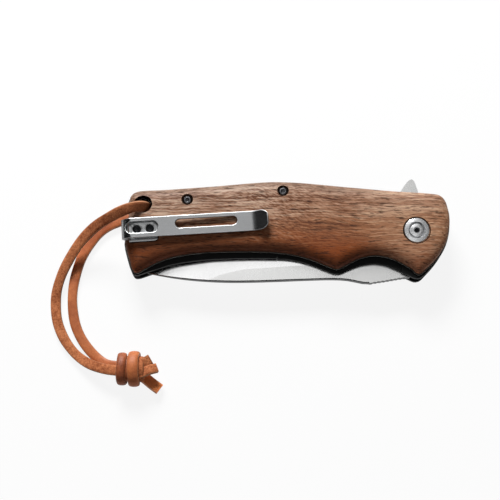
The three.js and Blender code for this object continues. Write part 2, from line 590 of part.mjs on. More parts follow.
// The ground part of the blade, as sections from the tip to the tang
function groundBlade() {
  const spine = smoothLine(BLADE_SPINE, 120);
  const edge = smoothLine(BLADE_EDGE, 120);
  const grind = smoothLine(GRIND_LINE, 120);
  const middle = Z_BLADE + BLADE_THICKNESS / 2;
  const tip = BLADE_SPINE[0];
  const vertices = [tip[0], tip[1], middle];
  const sides = 10;
  for (let i = 1; i <= BLADE_STATIONS; i += 1) {
    const x = THREE.MathUtils.lerp(tip[0], TANG_START, (i / BLADE_STATIONS) ** 1.25);
    const back = heightAt(spine, x);
    const front = heightAt(edge, x);
    const line = heightAt(grind, x);
    const width = front - back;
    const chamfer = Math.min(SPINE_CHAMFER, width / 8);
    const bevel = Math.min(EDGE_BEVEL, width / 6);
    const shoulder = THREE.MathUtils.clamp(line, back + 2 * chamfer, front - 2 * bevel);
    const plunge = THREE.MathUtils.smoothstep(x, TANG_START - PLUNGE_LENGTH, TANG_START - 0.3);
    const thick = (y) => halfThickness(x, y, line, front);
    const rim = THREE.MathUtils.lerp(0.02, BLADE_THICKNESS / 2, plunge);
    const section = [
      [back, -(thick(back) - chamfer)], [back, thick(back) - chamfer], [back + chamfer, thick(back)],
      [shoulder, thick(shoulder)], [front - bevel, thick(front - bevel)], [front, rim], [front, -rim],
      [front - bevel, -thick(front - bevel)], [shoulder, -thick(shoulder)], [back + chamfer, -thick(back)],
    ];
    for (const [y, z] of section.reverse()) vertices.push(x, y, middle + z);
  }
  const index = [];
  for (let k = 0; k < sides; k += 1) index.push(0, 1 + ((k + 1) % sides), 1 + k);
  for (let i = 0; i + 1 < BLADE_STATIONS; i += 1) {
    for (let k = 0; k < sides; k += 1) {
      const a = 1 + i * sides + k;
      const b = 1 + i * sides + ((k + 1) % sides);
      index.push(a, b, b + sides, a, b + sides, a + sides);
    }
  }
  const last = 1 + (BLADE_STATIONS - 1) * sides;
  for (let k = 1; k + 1 < sides; k += 1) index.push(last, last + k, last + k + 1);
  const geometry = new THREE.BufferGeometry();
  geometry.setAttribute('position', new THREE.Float32BufferAttribute(vertices, 3));
  geometry.setIndex(index);
  return solid(geometry);
}

// Foot of a stop shoulder: a point beside the pin's place at an angle, a pin's radius and the gap away,
// and as far out along that angle as asked
function shoulderPoint(angle, side, reach) {
  const offset = side * (STOP_PIN_RADIUS + STOP_GAP);
  return new THREE.Vector2(
    reach * Math.cos(angle) - offset * Math.sin(angle),
    reach * Math.sin(angle) + offset * Math.cos(angle));
}

// The flat tang: spine, open-side shoulder, round bearing, lock face, closed-side shoulder and flipper
function tangShape() {
  const shape = new THREE.Shape();
  const openAngle = STOP_PIN_ANGLE - Math.PI;
  const offset = STOP_PIN_RADIUS + STOP_GAP;
  const inner = Math.sqrt(TANG_RADIUS * TANG_RADIUS - offset * offset);
  const openOuter = shoulderPoint(openAngle, -1, SHOULDER_DEPTH);
  const openInner = shoulderPoint(openAngle, -1, inner);
  const closedInner = shoulderPoint(STOP_PIN_ANGLE, 1, inner);
  const closedOuter = shoulderPoint(STOP_PIN_ANGLE, 1, FLIPPER_NOTCH);
  const lockTop = Math.sqrt(TANG_RADIUS * TANG_RADIUS - LOCK_FACE_X * LOCK_FACE_X);
  const [startX, startY] = BLADE_SPINE[BLADE_SPINE.length - 1];
  const [edgeX, edgeY] = BLADE_EDGE[BLADE_EDGE.length - 1];
  shape.moveTo(startX - 0.5, startY);
  shape.splineThru([[startX, startY], ...TANG_SPINE].map(([x, y]) => new THREE.Vector2(x, y))
    .concat([openOuter]));
  shape.lineTo(openInner.x, openInner.y);
  shape.absarc(0, 0, TANG_RADIUS, openInner.angle() - 2 * Math.PI, Math.asin(LOCK_FACE_LOW / TANG_RADIUS), false);
  shape.lineTo(LOCK_FACE_X, LOCK_FACE_LOW);
  shape.lineTo(LOCK_FACE_X, lockTop);
  shape.absarc(0, 0, TANG_RADIUS, Math.asin(lockTop / TANG_RADIUS), closedInner.angle(), false);
  shape.lineTo(closedOuter.x, closedOuter.y);
  shape.splineThru([...FLIPPER_FRONT, FLIPPER_PEAK, ...FLIPPER_BACK, [edgeX, edgeY]]
    .map(([x, y]) => new THREE.Vector2(x, y)));
  shape.lineTo(edgeX - 0.5, edgeY);
  return shape;
}

function buildBlade() {
  let blade = prism(tangShape(), Z_BLADE, Z_CLIP_WASHER, 6).add(groundBlade());
  blade = blade.subtract(rod(0, 0, PIVOT_RADIUS + RUNNING_GAP, Z_BLADE - 1, Z_CLIP_WASHER + 1, 32));
  const spine = smoothLine([BLADE_SPINE[BLADE_SPINE.length - 1], ...TANG_SPINE], 40);
  for (let i = 0; i < JIMPING.count; i += 1) {
    const x = JIMPING.first + i * JIMPING.pitch;
    const y = heightAt(spine, x) + JIMPING.depth - JIMPING.radius;
    blade = blade.subtract(rod(x, y, JIMPING.radius, Z_BLADE - 1, Z_CLIP_WASHER + 1, 8));
  }
  const pit = rod(DETENT.x, DETENT.y, DETENT.hole, Z_CLIP_WASHER - DETENT.depth, Z_CLIP_WASHER + 1, 12);
  addPiece('blade', blade.subtract(pit), BLADE_STEEL);
}

function buildPivot() {
  const floor = Z_CLIP_BACKING + COLLAR_FLOOR;
  const barrelTop = Z_CLIP_BACKING;
  const boreFloor = Z_SHOW_LINER;
  const boreRadius = PIVOT_SCREW_RADIUS + SCREW_GAP;
  addPiece('pivot_barrel', turned([
    [0, 0], [PIVOT_HEAD_RADIUS - PIVOT_EDGE, 0], [PIVOT_HEAD_RADIUS, PIVOT_EDGE],
    [PIVOT_HEAD_RADIUS, Z_SHOW_LINER], [PIVOT_RADIUS, Z_SHOW_LINER], [PIVOT_RADIUS, barrelTop],
    [boreRadius, barrelTop], [boreRadius, boreFloor], [0, boreFloor],
  ]), BRIGHT_STEEL);

  const seat = PIVOT_SCREW_HEAD_RADIUS + SCREW_GAP;
  addPiece('pivot_collar', new THREE.LatheGeometry([
    [boreRadius, Z_CLIP_BACKING], [PIVOT_HEAD_RADIUS, Z_CLIP_BACKING],
    [PIVOT_HEAD_RADIUS, Z_TOP - PIVOT_EDGE], [PIVOT_HEAD_RADIUS - PIVOT_EDGE, Z_TOP],
    [seat + PIVOT_EDGE, Z_TOP + PIVOT_DOME], [seat, Z_TOP - PIVOT_DOME], [seat, floor],
    [boreRadius, floor], [boreRadius, Z_CLIP_BACKING],
  ].map(([radius, height]) => new THREE.Vector2(radius, height)), 32).rotateX(Math.PI / 2), BRIGHT_STEEL);

  const headTop = floor + PIVOT_SCREW_HEAD_HEIGHT;
  const screw = turned([
    [0, headTop - PIVOT_SCREW_LENGTH], [PIVOT_SCREW_RADIUS, headTop - PIVOT_SCREW_LENGTH],
    [PIVOT_SCREW_RADIUS, floor], [PIVOT_SCREW_HEAD_RADIUS, floor],
    [PIVOT_SCREW_HEAD_RADIUS, Z_TOP - PIVOT_DOME], [PIVOT_SCREW_HEAD_RADIUS - PIVOT_EDGE, Z_TOP],
    [PIVOT_RECESS_RADIUS + PIVOT_EDGE, Z_TOP + PIVOT_DOME], [0, Z_TOP + PIVOT_DOME],
  ], 24);
  const recess = rod(0, 0, PIVOT_RECESS_RADIUS, Z_TOP - PIVOT_RECESS_DEPTH, Z_TOP + 1, 6);
  addPiece('pivot_screw', screw.subtract(recess), BRIGHT_STEEL);

  const ringShape = discShape(0, 0, WASHER_RADIUS);
  ringShape.holes.push(new THREE.Path().absarc(0, 0, PIVOT_RADIUS + RUNNING_GAP, 0, 2 * Math.PI));
  addPiece('show_side_washer', prism(ringShape, Z_SHOW_WASHER, Z_BLADE, 16), BRONZE);
  addPiece('clip_side_washer', prism(ringShape, Z_CLIP_WASHER, Z_CLIP_LINER, 16), BRONZE);

  const pin = turned([
    [0, Z_SHOW_LINER], [STOP_PIN_TENON, Z_SHOW_LINER], [STOP_PIN_TENON, Z_SHOW_WASHER],
    [STOP_PIN_RADIUS, Z_SHOW_WASHER], [STOP_PIN_RADIUS, Z_CLIP_LINER], [STOP_PIN_TENON, Z_CLIP_LINER],
    [STOP_PIN_TENON, Z_CLIP_BACKING], [0, Z_CLIP_BACKING],
  ], 16).translate([stopPin[0], stopPin[1], 0]);
  addPiece('stop_pin', pin, BRIGHT_STEEL);
}

function buildSpacer() {
  const inner = smoothLine(SPACER_INNER, 30);
  const first = inner[0];
  const last = inner[inner.length - 1];
  const around = new THREE.Box2().setFromPoints(linerOutline).expandByScalar(FIT_GAP);
  const region = new THREE.Shape([
    new THREE.Vector2(SPACER_FRONT_X, around.max.y), new THREE.Vector2(SPACER_FRONT_X, first.y), ...inner,
    new THREE.Vector2(last.x, around.min.y), around.min, new THREE.Vector2(around.min.x, around.max.y),
  ]);
  const low = Z_SHOW_WASHER;
  const high = Z_CLIP_LINER;
  let body = prism(new THREE.Shape(spacerOutline), low, high).intersect(prism(region, low - 1, high + 1));
  for (const [x, y] of Object.values(BODY_SCREWS)) {
    body = body.subtract(rod(x, y, BODY_SCREW_RADIUS + FIT_GAP, low - 1, high + 1));
  }
  body = body.subtract(rod(LANYARD_HOLE[0], LANYARD_HOLE[1], LANYARD_HOLE_RADIUS, low - 1, high + 1));
  addPiece('back_spacer', body, BLACK_COAT);
}

// A screw whose head's underside is at zero and whose head points up
function screwBlank(headRadius, headHeight, radius, length) {
  const edge = 0.25;
  const screw = turned([
    [0, -length], [radius, -length], [radius, 0], [headRadius, 0],
    [headRadius, headHeight - edge], [headRadius - edge, headHeight], [0, headHeight],
  ], 18);
  return screw.subtract(rod(0, 0, DRIVE_RADIUS, headHeight - Math.min(DRIVE_DEPTH, 0.7 * headHeight),
    headHeight + 1, 6));
}

function buildScrews() {
  const blank = screwBlank(BODY_HEAD_RADIUS, BODY_HEAD_HEIGHT, BODY_SCREW_RADIUS, BODY_SCREW_LENGTH);
  for (const [place, [x, y]] of Object.entries(BODY_SCREWS)) {
    const up = blank.translate([x, y, Z_CLIP_WOOD + COUNTERBORE_FLOOR]);
    const down = blank.mirror([0, 0, 1]).translate([x, y, WOOD_THICKNESS - COUNTERBORE_FLOOR]);
    addPiece(`clip_side_screw_${place}`, up, DARK_STEEL);
    addPiece(`show_side_screw_${place}`, down, DARK_STEEL);
  }
  const seat = Z_CLIP_PLATE_TOP - CLIP_HEAD_SUNK;
  const reach = seat - (Z_CLIP_LINER + CLIP_SCREW_REACH);
  const small = screwBlank(CLIP_HEAD_RADIUS, CLIP_HEAD_HEIGHT, CLIP_SCREW_RADIUS, reach);
  for (const [place, along] of Object.entries(CLIP_SCREWS)) {
    const [x, y] = clipPoint(along);
    addPiece(`clip_screw_${place}`, small.translate([x, y, seat]), DARK_STEEL);
  }
}

// The clip: a plate under the screws, and the arm with its fold, spring stretch and turned-up lip
function buildClip() {
  let plate = prism(clipPlateShape(0, CLIP_PLATE_START), Z_CLIP_FLOOR, Z_CLIP_PLATE_TOP);
  for (const along of Object.values(CLIP_SCREWS)) {
    plate = plate.subtract(rod(along, 0, CLIP_SCREW_RADIUS + SCREW_GAP, Z_CLIP_FLOOR - 1, Z_TOP + 2));
    plate = plate.subtract(rod(along, 0, CLIP_HEAD_RADIUS + SCREW_GAP, Z_CLIP_PLATE_TOP - CLIP_HEAD_SUNK,
      Z_TOP + 2));
  }
  addPiece('clip_plate', inClipPlace(plate), CLIP_STEEL);

  // Side view of the arm: first coordinate along the clip, second its height
  const innerRadius = CLIP_FOLD_GAP / 2;
  const outerRadius = innerRadius + CLIP_THICKNESS;
  const foldZ = Z_CLIP_PLATE_TOP + innerRadius;
  const touchZ = Z_TOP + CLIP_TOUCH_GAP;
  const side = new THREE.Shape();
  side.moveTo(CLIP_LEG_END, Z_CLIP_PLATE_TOP);
  side.lineTo(CLIP_FOLD_CENTRE, Z_CLIP_PLATE_TOP);
  side.absarc(CLIP_FOLD_CENTRE, foldZ, innerRadius, 1.5 * Math.PI, Math.PI / 2, true);
  side.lineTo(CLIP_TOUCH - 1.5, touchZ + 0.05);
  side.quadraticCurveTo(CLIP_TOUCH, touchZ, CLIP_TOUCH + 1.3, touchZ + 0.35);
  side.lineTo(CLIP_TIP, touchZ + CLIP_LIP_RISE);
  side.lineTo(CLIP_TIP - 0.4, touchZ + CLIP_LIP_RISE + CLIP_THICKNESS);
  side.lineTo(CLIP_TOUCH + 0.8, touchZ + 0.45 + CLIP_THICKNESS);
  side.quadraticCurveTo(CLIP_TOUCH - 0.4, touchZ + CLIP_THICKNESS, CLIP_TOUCH - 2.2, touchZ + CLIP_THICKNESS + 0.1);
  side.lineTo(CLIP_FOLD_CENTRE, foldZ + outerRadius);
  side.absarc(CLIP_FOLD_CENTRE, foldZ, outerRadius, Math.PI / 2, 1.5 * Math.PI, false);
  side.lineTo(CLIP_LEG_END, Z_CLIP_FLOOR);
  const strip = new THREE.ExtrudeGeometry(side, { depth: CLIP_WIDTH, bevelEnabled: false, curveSegments: 8 });
  strip.rotateX(Math.PI / 2);
  strip.translate(0, CLIP_WIDTH / 2, 0);

  const plan = new THREE.Shape();
  const half = CLIP_WIDTH / 2;
  plan.moveTo(-outerRadius - 2, -half - 1);
  plan.lineTo(CLIP_TOUCH, -half - 1);
  plan.lineTo(CLIP_TOUCH, -half);
  plan.lineTo(CLIP_TIP - CLIP_TIP_CORNER, -half);
  plan.absarc(CLIP_TIP - CLIP_TIP_CORNER, -half + CLIP_TIP_CORNER, CLIP_TIP_CORNER, -Math.PI / 2, 0, false);
  plan.absarc(CLIP_TIP - CLIP_TIP_CORNER, half - CLIP_TIP_CORNER, CLIP_TIP_CORNER, 0, Math.PI / 2, false);
  plan.lineTo(CLIP_TOUCH, half);
  plan.lineTo(CLIP_TOUCH, half + 1);
  plan.lineTo(-outerRadius - 2, half + 1);
  const above = foldZ + 0.2 * innerRadius;
  const arm = solid(strip)
    .intersect(prism(plan, Z_CLIP_FLOOR - 1, Z_TOP + 10, 6))
    .subtract(prism(slotShape(CLIP_WINDOW), above, Z_TOP + 10))
    .subtract(prism(slotShape(CLIP_SLOT), Z_TOP - 1, Z_TOP + 10));
  addPiece('clip_arm', inClipPlace(arm), CLIP_STEEL);
}

// Outline of the flat lace across its length, thickness first
function laceSection() {
  const thick = LACE_THICKNESS / 2;
  const wide = LACE_WIDTH / 2;
  const c = LACE_CORNER;
  return [
    [thick, -(wide - c)], [thick, wide - c], [thick - c, wide], [-(thick - c), wide],
    [-thick, wide - c], [-thick, -(wide - c)], [-(thick - c), -wide], [thick - c, -wide],
  ];
}

// A flat lace along a smooth way. Its thickness starts along a given direction and settles upright.
function laceAlong(places, firstNormal, steps) {
  const path = new THREE.CatmullRomCurve3(places.map((p) => new THREE.Vector3(...p)), false, 'centripetal');
  const section = laceSection();
  const sides = section.length;
  const normal = firstNormal.clone();
  const vertices = [];
  const index = [];
  for (let i = 0; i <= steps; i += 1) {
    const place = path.getPointAt(i / steps);
    const tangent = path.getTangentAt(i / steps);
    normal.z += LACE_SETTLING;
    normal.addScaledVector(tangent, -normal.dot(tangent)).normalize();
    const across = new THREE.Vector3().crossVectors(tangent, normal);
    for (const [thick, wide] of section) {
      const corner = place.clone().addScaledVector(normal, thick).addScaledVector(across, wide);
      vertices.push(corner.x, corner.y, corner.z);
    }
  }
  for (let i = 0; i < steps; i += 1) {
    for (let k = 0; k < sides; k += 1) {
      const a = i * sides + k;
      const b = i * sides + ((k + 1) % sides);
      index.push(a, b, b + sides, a, b + sides, a + sides);
    }
  }
  const last = steps * sides;
  for (let k = 1; k + 1 < sides; k += 1) {
    index.push(0, k + 1, k);
    index.push(last, last + k, last + k + 1);
  }
  const geometry = new THREE.BufferGeometry();
  geometry.setAttribute('position', new THREE.Float32BufferAttribute(vertices, 3));
  geometry.setIndex(index);
  return solid(geometry);
}

function buildLanyard() {
  const across = new THREE.Vector3(1, 0, 0);
  const up = new THREE.Vector3(0, 0, 1);
  addPiece('lanyard_outer_strand', laceAlong(OUTER_STRAND, across, LACE_STEPS), LEATHER);
  addPiece('lanyard_inner_strand', laceAlong(INNER_STRAND, across.clone().negate(), LACE_STEPS), LEATHER);
  let knot = turned(KNOT_PROFILE, 28)
    .rotate([0, 90, 0])
    .scale([1, 1, KNOT_FLATNESS])
    .translate(KNOT_CENTRE);
  for (const end of KNOT_ENDS) knot = knot.add(laceAlong(end, up, 8));
  addPiece('lanyard_knot', knot, LEATHER);
}

buildScales();
buildBackings();
buildLiners();
buildBlade();
buildPivot();
buildSpacer();
buildScrews();
buildClip();
buildLanyard();

export default knife;
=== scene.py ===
"""Folding pocket knife with walnut scales, a pocket clip and a knotted leather lanyard.

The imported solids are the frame, in metres. Pieces that show are drawn here over them, with the finish
of the real ones: oiled walnut, ground and tumbled steel, black liners and tan leather. Sizes in this
script are millimetres until a mesh is made.
"""

import logging
import math
from collections.abc import Iterator
from contextlib import contextmanager
from dataclasses import dataclass, field
from enum import Enum, IntEnum

import bmesh
import bpy
import numpy as np
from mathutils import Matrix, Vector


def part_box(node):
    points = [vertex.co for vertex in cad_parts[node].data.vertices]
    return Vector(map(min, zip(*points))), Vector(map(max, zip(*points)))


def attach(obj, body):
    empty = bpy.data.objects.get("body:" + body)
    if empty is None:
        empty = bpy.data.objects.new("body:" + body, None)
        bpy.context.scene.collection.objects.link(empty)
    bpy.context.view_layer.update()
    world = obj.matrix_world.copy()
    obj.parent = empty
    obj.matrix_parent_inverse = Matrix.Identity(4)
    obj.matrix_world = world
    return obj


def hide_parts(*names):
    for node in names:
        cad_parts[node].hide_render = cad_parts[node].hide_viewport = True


MM = 0.001
STRIP = "strip"
LACE_HOLE = (-102.0, 10.25)
MERGE_DISTANCE = 0.0005
PACKED_MERGE_DISTANCE = 0.002
PACKED_FLAT_ANGLE = 0.6
SMOOTH_ANGLE = 32.0
CUT_SMOOTH_ANGLE = 38.0
CUTTER_REACH = 9.0
LOG = logging.getLogger("pocket_knife")

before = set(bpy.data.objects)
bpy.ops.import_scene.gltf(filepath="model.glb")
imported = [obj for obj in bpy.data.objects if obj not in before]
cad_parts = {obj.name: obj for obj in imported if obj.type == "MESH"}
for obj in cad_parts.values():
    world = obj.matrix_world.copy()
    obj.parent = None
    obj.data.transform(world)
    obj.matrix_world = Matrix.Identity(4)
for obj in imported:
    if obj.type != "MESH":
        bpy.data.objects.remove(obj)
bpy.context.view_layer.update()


class Body(Enum):
    """The parts of the knife that move as one."""

    HANDLE = "handle"
    BLADE = "blade"
    LOCK_BAR = "lock_bar"
    CLIP_ARM = "clip_arm"


class Slot(Enum):
    """The record's material slots."""

    WALNUT = "walnut"
    SATIN_EDGE = "satin_edge"
    BLACK_COAT = "black_coat"
    BLADE_STEEL = "blade_steel"
    BRIGHT_STEEL = "bright_steel"
    DARK_STEEL = "dark_steel"
    CLIP_STEEL = "clip_steel"
    SUEDE = "suede"
    SMOOTH_LEATHER = "smooth_leather"


class LaceSide(IntEnum):
    """The sides of the lace that show in its knot, as the knot's material numbers."""

    SMOOTH = 0
    ROUGH = 1
    RED = 2
    ORANGE = 3


def linear(red: float, green: float, blue: float) -> tuple[float, float, float, float]:
    """Turns a colour of 0 to 255 a channel, as it looks, into the renderer's linear colour.

    Args:
        red, green, blue: the channels as seen.

    Returns:
        Linear red, green, blue and an alpha of 1.
    """
    seen = np.array([red, green, blue]) / 255.0
    straight = np.where(seen <= 0.04045, seen / 12.92, ((seen + 0.055) / 1.055) ** 2.4)
    return (*straight.tolist(), 1.0)


def dimmed(colour: tuple, share: float) -> tuple[float, float, float, float]:
    """A linear colour times a share, with an alpha of 1."""
    return (*(channel * share for channel in colour[:3]), 1.0)


# Lines and surfaces


def smooth_line(points: np.ndarray, spacing: float) -> np.ndarray:
    """A smooth open line through points, in even steps.

    Each stretch is the cubic whose ends have the slopes of the chords over their neighbours, with the
    parameter growing as the square root of the distance between points.

    Args:
        points: the places that the line passes, one a row.
        spacing: the step along the line, about.

    Returns:
        Points along the line, one a row.
    """
    points = np.asarray(points, float)
    padded = np.vstack([2 * points[0] - points[1], points, 2 * points[-1] - points[-2]])
    knots = np.concatenate([[0.0], np.cumsum(np.linalg.norm(np.diff(padded, axis=0), axis=1) ** 0.5)])
    stretch_steps = 24
    share = np.linspace(0, 1, stretch_steps, endpoint=False)[:, None]
    stretches = []
    for i in range(1, len(padded) - 2):
        before, start, end, after = padded[i - 1 : i + 3]
        t0, t1, t2, t3 = knots[i - 1 : i + 3]
        slope_1 = (start - before) / (t1 - t0) - (end - before) / (t2 - t0) + (end - start) / (t2 - t1)
        slope_2 = (end - start) / (t2 - t1) - (after - start) / (t3 - t1) + (after - end) / (t3 - t2)
        rise_1, rise_2 = slope_1 * (t2 - t1), slope_2 * (t2 - t1)
        a = 2 * start - 2 * end + rise_1 + rise_2
        b = -3 * start + 3 * end - 2 * rise_1 - rise_2
        stretches.append(start + share * (rise_1 + share * (b + share * a)))
    line = np.vstack([*stretches, points[-1:]])
    return even_steps(line, spacing)


def even_steps(line: np.ndarray, spacing: float) -> np.ndarray:
    """Spreads points evenly along a line, by its length.

    Args:
        line: the line's points, one a row.
        spacing: the step along it, about.

    Returns:
        The new points, one a row.
    """
    walked = np.concatenate([[0.0], np.cumsum(np.linalg.norm(np.diff(line, axis=0), axis=1))])
    stops = np.linspace(0, walked[-1], max(int(round(walked[-1] / spacing)), 2) + 1)
    return np.stack([np.interp(stops, walked, line[:, axis]) for axis in range(line.shape[1])], axis=1)


def line_length(line: np.ndarray) -> float:
    """The length of a line of points."""
    return float(np.linalg.norm(np.diff(line, axis=0), axis=1).sum())


def unit(vectors: np.ndarray) -> np.ndarray:
    """Each row made one long."""
    return vectors / np.linalg.norm(vectors, axis=-1, keepdims=True)


def smooth_step(value: np.ndarray, low: float, high: float) -> np.ndarray:
    """3s² - 2s³, where s is how far the value has come from low to high, held at 0 and 1."""
    share = np.clip((np.asarray(value, float) - low) / (high - low), 0, 1)
    return share * share * (3 - 2 * share)


def grid_faces(rows: int, columns: int, wrap_rows: bool = False, wrap_columns: bool = False) -> np.ndarray:
    """The four-cornered faces of a grid of points that are numbered row by row.

    Args:
        rows, columns: the grid's size.
        wrap_rows: joins the last row to the first.
        wrap_columns: joins the last column to the first.

    Returns:
        Corner numbers, one face a row.
    """
    i = np.arange(rows if wrap_rows else rows - 1)[:, None]
    j = np.arange(columns if wrap_columns else columns - 1)[None, :]
    next_i, next_j = (i + 1) % rows, (j + 1) % columns
    corners = [i * columns + j, i * columns + next_j, next_i * columns + next_j, next_i * columns + j]
    return np.stack([np.broadcast_to(c, (i.size, j.size)) for c in corners], axis=-1).reshape(-1, 4)


def carried(path: np.ndarray, thick: np.ndarray, wide: np.ndarray, across: np.ndarray,
            out: np.ndarray) -> np.ndarray:
    """A section carried along a path: path + out * thick + across * wide.

    Args:
        path: places along the path, one a row.
        thick, wide: the section's coordinates, the same for all places or one row for each.
        across, out: one direction of each kind for each place.

    Returns:
        A grid of points: places by section points by x, y and z.
    """
    thick, wide = np.atleast_2d(thick), np.atleast_2d(wide)
    return path[:, None] + out[:, None] * thick[..., None] + across[:, None] * wide[..., None]


def rounded_section(thickness: float, width: float, power: float) -> tuple[np.ndarray, np.ndarray]:
    """The outline of a strip's section: a rectangle with soft corners, |t|^p + |w|^p = 1.

    Args:
        thickness, width: its full sizes.
        power: 2 is an ellipse, more is squarer.

    Returns:
        Its thickness and width coordinates.
    """
    count = 24
    turn = 2 * np.pi * (np.arange(count) + 0.5) / count
    cos, sin = np.cos(turn), np.sin(turn)
    radius = (np.abs(cos) ** power + np.abs(sin) ** power) ** (-1 / power)
    return thickness / 2 * radius * cos, width / 2 * radius * sin


# Meshes


def new_object(name: str, data: bpy.types.ID) -> bpy.types.Object:
    """Makes an object and puts it into the scene.

    Args:
        name: its name.
        data: its mesh, light or camera.

    Returns:
        The object, at the origin.
    """
    made = bpy.data.objects.new(name, data)
    bpy.context.scene.collection.objects.link(made)
    return made


def mesh_object(name: str, points: np.ndarray, faces: list,
                strip: np.ndarray | None = None) -> bpy.types.Object:
    """Makes an object from points in millimetres and its faces.

    Args:
        name: the piece's name.
        points: one point a row.
        faces: lists of corner numbers.
        strip: for a lace, what its strip attribute holds at each point.

    Returns:
        The object, at the origin.
    """
    mesh = bpy.data.meshes.new(name)
    mesh.from_pydata((np.asarray(points, float).reshape(-1, 3) * MM).tolist(), [], faces)
    if strip is not None:
        mesh.attributes.new(STRIP, "FLOAT_VECTOR", "POINT").data.foreach_set("vector", strip.ravel())
    mesh.validate()
    return new_object(name, mesh)


@contextmanager
def opened(mesh: bpy.types.Mesh, merge: float = 0.0, write: bool = True) -> Iterator[bmesh.types.BMesh]:
    """Opens a mesh for work and writes it back afterwards.

    Args:
        mesh: the mesh.
        merge: points closer than this are joined, in millimetres. 0 joins none.
        write: False leaves the mesh as it is.

    Yields:
        The open mesh.
    """
    work = bmesh.new()
    work.from_mesh(mesh)
    if merge:
        bmesh.ops.remove_doubles(work, verts=work.verts, dist=merge * MM)
    yield work
    if write:
        work.to_mesh(mesh)
    work.free()


def tidy_mesh(piece: bpy.types.Object, merge: float = MERGE_DISTANCE,
              sharp_angle: float = SMOOTH_ANGLE) -> None:
    """Joins doubles, turns the faces outwards and shades them smooth.

    Args:
        piece: the object.
        merge: points closer than this are joined, in millimetres.
        sharp_angle: edges over this angle in degrees stay sharp.
    """
    with opened(piece.data, merge) as work:
        bmesh.ops.dissolve_degenerate(work, edges=work.edges, dist=merge * MM)
        bmesh.ops.recalc_face_normals(work, faces=work.faces)
    shade(piece, sharp_angle)


def shade(piece: bpy.types.Object, sharp_angle: float) -> None:
    """Shades a piece smooth, with edges over an angle in degrees kept sharp."""
    piece.data.shade_smooth()
    piece.data.set_sharp_from_angle(angle=math.radians(sharp_angle))


def points_of(piece: bpy.types.Object) -> np.ndarray:
    """Reads the points of a piece's mesh.

    Args:
        piece: the object.

    Returns:
        The points in millimetres, one a row.
    """
    points = np.empty(len(piece.data.vertices) * 3)
    piece.data.vertices.foreach_get("co", points)
    return points.reshape(-1, 3) / MM


def move_points(piece: bpy.types.Object, points: np.ndarray) -> None:
    """Gives the points of a piece's mesh new places, in millimetres."""
    piece.data.vertices.foreach_set("co", (points * MM).ravel())


def of_faces(piece: bpy.types.Object, what: str) -> np.ndarray:
    """Reads one vector of each face of a piece.

    Args:
        piece: the object.
        what: "center" for the faces' middles in metres, or "normal".

    Returns:
        The vectors, one a row.
    """
    rows = np.empty(len(piece.data.polygons) * 3)
    piece.data.polygons.foreach_get(what, rows)
    return rows.reshape(-1, 3)


def number_faces(piece: bpy.types.Object, numbers: np.ndarray | list[int]) -> None:
    """Gives each face of a piece its material number."""
    piece.data.polygons.foreach_set("material_index", np.asarray(numbers, dtype=np.int32))


def end_faces(first: int, rows: int, columns: int) -> list[list[int]]:
    """The two flat ends of a grid whose points are numbered from first."""
    last = first + (rows - 1) * columns
    return [list(range(first, first + columns))[::-1], list(range(last, last + columns))]


def ring_surface(name: str, grid: np.ndarray, strip: np.ndarray | None = None, capped: bool = False,
                 merge: float = MERGE_DISTANCE) -> bpy.types.Object:
    """Makes a merged, smooth object from a grid of points in millimetres, whose rows are closed rings.

    Args:
        name: the piece's name.
        grid: rows by columns by x, y and z.
        strip: for a lace, what its strip attribute holds at each point.
        capped: closes the first and last ring with a flat face each.
        merge: points closer than this are joined.

    Returns:
        The object.
    """
    rows, columns = grid.shape[:2]
    faces = grid_faces(rows, columns, wrap_columns=True).tolist()
    piece = mesh_object(name, grid, faces + (end_faces(0, rows, columns) if capped else []), strip)
    tidy_mesh(piece, merge)
    return piece


@dataclass(frozen=True)
class Drive:
    """The lobed recess of a screw: its radius, and how far its lobes swing as a share of each radius."""

    radius: float = 0.0
    swing: float = 0.0
    lobes: int = 6


def turned(name: str, profile: list[tuple[float, float]], centre: tuple[float, float],
           drive: Drive = Drive(), down: bool = False, base: float = 0.0,
           count: int = 96) -> bpy.types.Object:
    """A revolved piece: each (radius, height) of the profile goes once round the centre.

    In the drive, the radius is r (1 + swing * cos(lobes * angle)).

    Args:
        name: the piece's name.
        profile: radius and height pairs in millimetres, from axis to axis.
        centre: x and y of the axis.
        drive: the lobed recess. Radii up to its own are lobed.
        down: turns the piece over, so that its heights are measured downwards from the base.
        base: the height that the profile's zero stands at.
        count: steps round the axis.

    Returns:
        The object.
    """
    radius, height = np.array(profile, float).T
    angle = 2 * np.pi * np.arange(count) / count
    wave = 1 + np.where(radius <= drive.radius, drive.swing, 0)[:, None] * np.cos(drive.lobes * angle)
    reach = radius[:, None] * wave
    level = base + (-height if down else height)
    grid = np.stack([centre[0] + reach * np.cos(angle), centre[1] + reach * np.sin(angle),
                     np.broadcast_to(level[:, None], reach.shape)], axis=-1)
    return ring_surface(name, grid)


def bore(centre: tuple, radius: float, low: float, high: float, count: int = 64) -> bpy.types.Object:
    """A round cutter between two heights."""
    return turned("bore", [(0, low), (radius, low), (radius, high), (0, high)], centre, count=count)


def cut(piece: bpy.types.Object, cutters: list[bpy.types.Object]) -> None:
    """Takes the cutters' volumes out of a piece, deletes them and applies the piece's modifiers.

    Args:
        piece: the object.
        cutters: closed objects. None only applies the modifiers.
    """
    for cutter in cutters:
        modifier = piece.modifiers.new("cut", "BOOLEAN")
        modifier.operation = "DIFFERENCE"
        modifier.solver = "EXACT"
        modifier.object = cutter
    bpy.context.view_layer.update()
    result = bpy.data.meshes.new_from_object(piece.evaluated_get(bpy.context.evaluated_depsgraph_get()))
    result.name = piece.name
    piece.modifiers.clear()
    piece.data = result
    for cutter in cutters:
        bpy.data.objects.remove(cutter)


